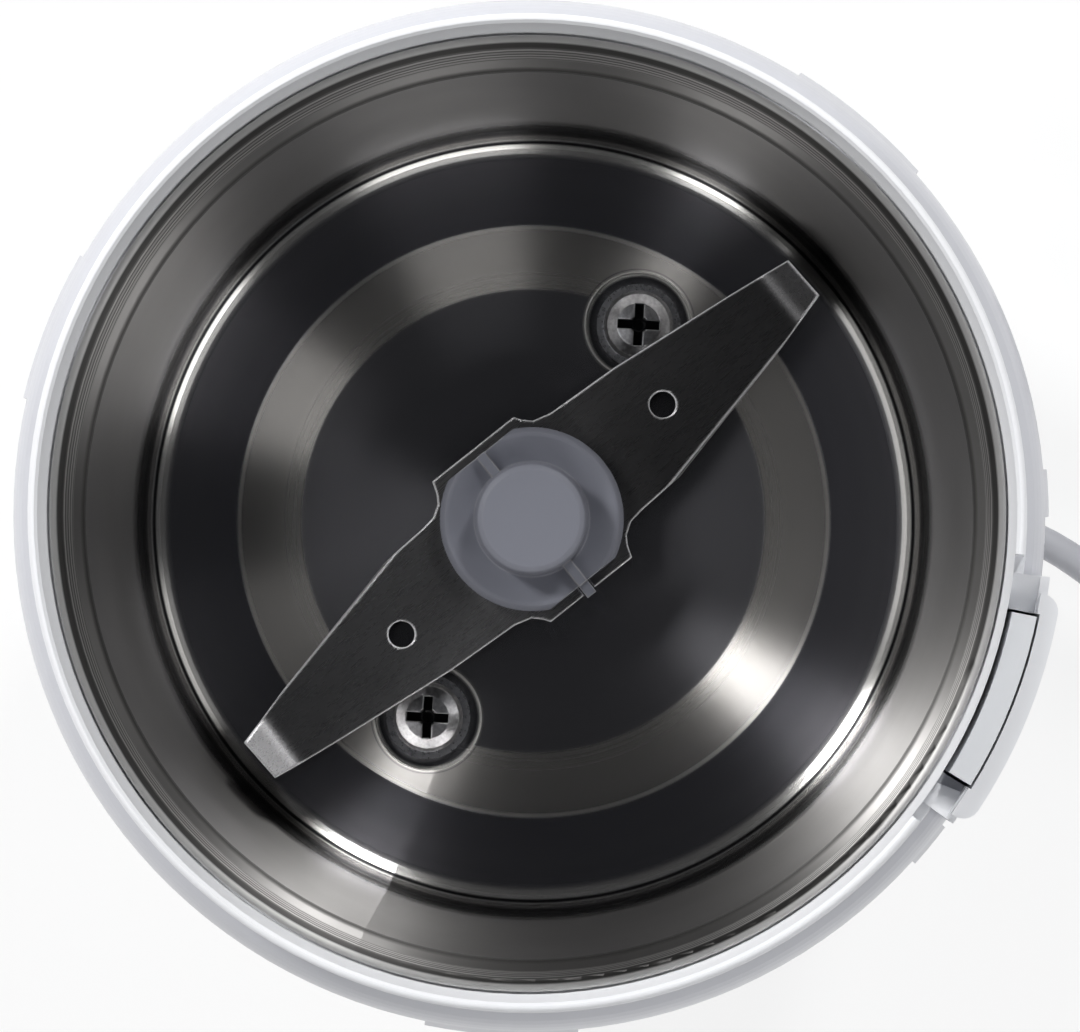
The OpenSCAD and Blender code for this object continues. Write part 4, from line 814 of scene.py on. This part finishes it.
def coil_tie(sizes):
    """Rubber strap round all turns of the coil, with its end laid over itself on top."""
    width, thick = sizes.cord_width / MM, sizes.cord_thick / MM
    strap_w, strap_t = sizes.tie_width / MM, sizes.tie_thick / MM
    turned = ((TIE_DEG - COIL_START_DEG) % 360) / 360
    outer = COIL_OUTER - COIL_PITCH * turned + thick / 2
    inner = outer - COIL_PITCH * (COIL_TURNS - 1) - thick
    angle = math.radians(TIE_DEG)
    place = coil_place((outer + inner) / 2, angle)
    across = outer - inner + 2 * TIE_SLACK
    high = width + TIE_SLACK - strap_t

    strap = turned_block((*place, strap_t + high / 2), (across, strap_w, high), angle)
    strap.name = "coil_tie"
    open_ends(strap)
    round_edges(strap, lambda a, b: abs(a.co.y - b.co.y) > 0.5 * strap_w * MM, TIE_CORNER,
                segments=5)
    add_modifier(strap, "SOLIDIFY", thickness=strap_t * MM, offset=1, use_even_offset=True)

    tail = turned_block((*place, 2 * strap_t + high + 0.5 * strap_t),
                        (TIE_TAIL, TIE_TAIL_SHARE * strap_w, strap_t), angle)
    round_edges(tail, lambda a, b: abs(a.co.z - b.co.z) > 0.5 * strap_t * MM and a.co.x > 0,
                TIE_TAIL_CORNER, segments=6)

    activate(strap)
    tail.select_set(True)
    bpy.ops.object.join()
    bpy.ops.object.transform_apply(location=True, rotation=True, scale=True)
    add_modifier(strap, "BEVEL", width=TIE_EDGE * MM, segments=2, limit_method="ANGLE",
                 angle_limit=math.radians(TIE_SMOOTH_DEG))
    smooth(strap, TIE_SMOOTH_DEG)
    strap.data.materials.append(FINISHES["dark_rubber"])
    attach(strap, "housing")
    return strap


class GRINDER_OT_finishes(Operator):
    """Makes the finish of every material slot"""

    bl_idname = "grinder.finishes"
    bl_label = "Finishes"

    def execute(self, context):
        FINISHES.update(make_finishes(context.scene.grinder_colours))
        return {"FINISHED"}


class GRINDER_OT_lead(Operator):
    """Flat two-core mains lead: out of the strain relief, into its coil and up to the plug"""

    bl_idname = "grinder.lead"
    bl_label = "Mains Lead"

    def execute(self, context):
        sizes = context.scene.grinder_sizes
        width, thick = sizes.cord_width / MM, sizes.cord_thick / MM
        path = smooth_route(CORD_ROUTE + coil_points(width) + TAIL_ROUTE, LEAD_STEP)
        lead = sweep_tube("mains_lead", path, lead_section(width, thick))
        lead.data.materials.append(FINISHES["cord_vinyl"])
        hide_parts("power_cord", "cord_coil", "cord_tail")
        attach(lead, "housing")
        finish_nodes("plug_body", "plug_blades", "strain_relief", "supply_lead", "cord_clamp",
                     "clamp_screws", "internal_leads")
        coil_tie(sizes)
        return {"FINISHED"}


# ---------------------------------------------------------------- body, bowl, blade, motor and switch


class GRINDER_OT_body(Operator):
    """Housing, top ring, base cover and feet"""

    bl_idname = "grinder.body"
    bl_label = "Body"

    def execute(self, context):
        finish_nodes("outer_housing", "top_collar", "base_cover", "base_screws", "rubber_feet")
        return {"FINISHED"}


class GRINDER_OT_bowl(Operator):
    """Spun steel bowl with its screws, washers and seals"""

    bl_idname = "grinder.bowl"
    bl_label = "Bowl"

    def execute(self, context):
        finish_nodes("grinding_bowl", "bowl_gasket", "bowl_grommets", "bowl_screws", "screw_washers",
                     "shaft_seal")
        # Nickel-plated heads: brighter than the other screws, painted pale along their edges as a
        # highlight along with wear
        plated = metal("Steel_nickel_plated_cross", "#c6c6ca", "#f0f0f3", roughness=0.3,
                       edge=(0.2, "#d9d9dc"))
        NODES["bowl_screws"].data.materials[0] = cross_head(plated)
        return {"FINISHED"}


class GRINDER_OT_blade(Operator):
    """Blade with its moulded hub and threaded insert"""

    bl_idname = "grinder.blade"
    bl_label = "Blade"

    def execute(self, context):
        finish_nodes("blade", "blade_hub", "hub_insert")
        soften_edges("blade_hub", context.scene.grinder_sizes.edge_round)
        return {"FINISHED"}


class GRINDER_OT_motor(Operator):
    """Motor pieces under the deck"""

    bl_idname = "grinder.motor"
    bl_label = "Motor"

    def execute(self, context):
        finish_nodes("motor_shaft", "rotor_core", "rotor_windings", "commutator", "cooling_fan",
                     "thrust_washers", "upper_bush", "lower_bush", "bush_retainers", "upper_bracket",
                     "lower_bracket", "motor_dampers", "motor_screws", "stator_core", "field_coils",
                     "brush_holders", "carbon_brushes", "brush_springs")
        return {"FINISHED"}


# Edges of the spring sharper than this angle in degrees stay sharp
SPRING_SMOOTH_DEG = 50


def return_spring():
    """The rod's round-wire spring: a welded, smooth-shaded copy of the CAD node, in its place."""
    spring = bpy.data.objects.new("return_spring", NODES["rod_spring"].data.copy())
    bpy.context.collection.objects.link(spring)
    edit_all(spring, bpy.ops.mesh.remove_doubles, threshold=WELD_M)
    smooth(spring, SPRING_SMOOTH_DEG)
    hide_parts("rod_spring")
    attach(spring, "housing")
    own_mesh(spring)


class GRINDER_OT_switch(Operator):
    """Lid switch: push rod, snap switch and their carrier"""

    bl_idname = "grinder.switch"
    bl_label = "Lid Switch"

    def execute(self, context):
        finish_nodes("push_rod", "rod_spring", "switch_carrier", "carrier_screws", "switch_body",
                     "switch_plunger", "switch_lever", "switch_terminals", "switch_screws")
        return_spring()
        return {"FINISHED"}


# ---------------------------------------------------------------- stage

CAMERA_MM = (5.96, 9.14, 575.6)
AIM_MM = (-0.12, 1.14, 123.6)
UP_DEG = 201.57
# Focal length and width of the whole frame in pixels
FOCAL_PX = 5298
FRAME_PX = 1080
SENSOR_MM = 36.0
CLIP_M = (0.01, 20)
FLOOR_M = 3.0
# How much of the paper's look is its own white; the rest takes the lamps' light and the shadow
PAPER_GLOW = 0.8

# Strength of the studio's walls and of its dark ceiling, and the heights between which it changes
SKY_SIDE = 0.07
SKY_TOP = 0.05
SKY_HEIGHTS = (0.45, 0.9)
SKY_COLOUR = "#eef0f4"

# All lamps stand at one distance from the middle of the bowl
LAMP_AIM_M = (0, 0, 0.1)
LAMP_DISTANCE_M = 0.9
SOFTBOXES = [
    # azimuth, elevation in degrees; width, height in metres; watts
    (255.5, 34, (0.15, 0.5), 6.4),
    (175.5, 34, (0.12, 0.5), 4.2),
    (135, 40, (0.3, 0.4), 0.4),
    (85, 36, (0.3, 0.4), 1.6),
    (-8, 40, (0.12, 0.4), 0.9),
    (35, 40, (0.3, 0.4), 1.1),
    (300, 60, (0.5, 0.3), 0.6),
]


def on_circle(angle_deg):
    angle = math.radians(angle_deg)
    return Vector((math.cos(angle), math.sin(angle), 0))


def aim_matrix(place, target, up):
    """Placing of an object whose -Z looks at the target, with +Y nearest to up."""
    back = (place - target).normalized()
    right = up.cross(back).normalized()
    turn = Matrix((right, back.cross(right), back)).transposed().to_4x4()
    return Matrix.Translation(place) @ turn


def softbox(name, azimuth, elevation, size, watts):
    """A rectangular area lamp aimed at the bowl."""
    rise = math.radians(elevation)
    up = Vector((0, 0, 1))
    aim = Vector(LAMP_AIM_M)
    place = aim + LAMP_DISTANCE_M * (math.cos(rise) * on_circle(azimuth) + math.sin(rise) * up)
    data = bpy.data.lights.new(name, "AREA")
    data.shape = "RECTANGLE"
    data.size, data.size_y = size
    data.energy = watts
    lamp = bpy.data.objects.new(name, data)
    bpy.context.collection.objects.link(lamp)
    lamp.matrix_world = aim_matrix(place, aim, up)


def floor_paint():
    """White paper: it shows as white behind the object and in the metal, and keeps a soft shadow."""
    material = new_material("Paper_white", "#f6f6f6", 0.0, 0.8)
    tree = material.node_tree
    path = add_node(tree, "ShaderNodeLightPath")
    seen = add_node(tree, "ShaderNodeMath", {"operation": "MAXIMUM"}, i0=path.outputs["Is Camera Ray"],
                    i1=path.outputs["Is Glossy Ray"])
    share = add_node(tree, "ShaderNodeMath", {"operation": "MULTIPLY"}, i0=seen.outputs["Value"],
                     i1=PAPER_GLOW)
    glow = add_node(tree, "ShaderNodeEmission", Color=linear("#ffffff"), Strength=1.0)
    mix = add_node(tree, "ShaderNodeMixShader", i0=share.outputs["Value"],
                   i1=shader_of(material).outputs["BSDF"], i2=glow.outputs["Emission"])
    tree.links.new(mix.outputs["Shader"], tree.nodes["Material Output"].inputs["Surface"])
    return material


class GRINDER_OT_stage(Operator):
    """Pale floor, softboxes and the camera above the bowl"""

    bl_idname = "grinder.stage"
    bl_label = "Studio"

    def execute(self, context):
        scene = context.scene
        deselect_all()
        bpy.ops.mesh.primitive_plane_add(size=FLOOR_M, location=(0, 0, 0))
        floor = context.object
        floor.name = "studio_floor"
        floor.data.materials.append(floor_paint())

        data = bpy.data.cameras.new("camera")
        data.sensor_width = SENSOR_MM
        data.lens = FOCAL_PX / FRAME_PX * SENSOR_MM
        data.clip_start, data.clip_end = CLIP_M
        camera = bpy.data.objects.new("camera", data)
        context.collection.objects.link(camera)
        camera.matrix_world = aim_matrix(Vector(CAMERA_MM) * MM, Vector(AIM_MM) * MM, on_circle(UP_DEG))
        scene.camera = camera

        for index, lamp in enumerate(SOFTBOXES):
            softbox(f"softbox_{index + 1}", *lamp)

        world = bpy.data.worlds.new("studio")
        scene.world = world
        world.use_nodes = True
        sky = world.node_tree
        dome = add_node(sky, "ShaderNodeMapRange", i0=object_axes(sky)["Z"], i1=SKY_HEIGHTS[0],
                        i2=SKY_HEIGHTS[1], i3=SKY_SIDE, i4=SKY_TOP)
        sky.links.new(dome.outputs["Result"], sky.nodes["Background"].inputs["Strength"])
        sky.nodes["Background"].inputs["Color"].default_value = linear(SKY_COLOUR)
        scene.view_settings.view_transform = "Standard"
        return {"FINISHED"}


class GRINDER_PT_pieces(Panel):
    """The grinder's settings and the operators of its pieces, in the order they run"""

    bl_idname = "GRINDER_PT_pieces"
    bl_label = "Electric Spice Grinder"
    bl_space_type = "VIEW_3D"
    bl_region_type = "UI"
    bl_category = "Grinder"

    def draw(self, context):
        layout = self.layout
        groups = (("Sizes", context.scene.grinder_sizes), ("Colours", context.scene.grinder_colours))
        for title, group in groups:
            box = layout.box()
            box.label(text=title)
            for key in group.__annotations__:
                box.prop(group, key)
        column = layout.column(align=True)
        for operator in OPERATORS:
            column.operator(operator.bl_idname)


# In the order they run
OPERATORS = [GRINDER_OT_stage, GRINDER_OT_finishes, GRINDER_OT_lead, GRINDER_OT_body, GRINDER_OT_bowl,
             GRINDER_OT_blade, GRINDER_OT_motor, GRINDER_OT_switch]
CLASSES = [GRINDER_PG_sizes, GRINDER_PG_colours, *OPERATORS, GRINDER_PT_pieces]


def register():
    for cls in CLASSES:
        bpy.utils.register_class(cls)
    bpy.types.Scene.grinder_sizes = PointerProperty(type=GRINDER_PG_sizes)
    bpy.types.Scene.grinder_colours = PointerProperty(type=GRINDER_PG_colours)


def unregister():
    del bpy.types.Scene.grinder_colours
    del bpy.types.Scene.grinder_sizes
    for cls in reversed(CLASSES):
        bpy.utils.unregister_class(cls)


def main():
    """Builds everything in order."""
    register()
    bpy.ops.grinder.stage()
    bpy.ops.grinder.finishes()
    bpy.ops.grinder.lead()
    bpy.ops.grinder.body()
    bpy.ops.grinder.bowl()
    bpy.ops.grinder.blade()
    bpy.ops.grinder.motor()
    bpy.ops.grinder.switch()


if __name__ == "__main__":
    main()
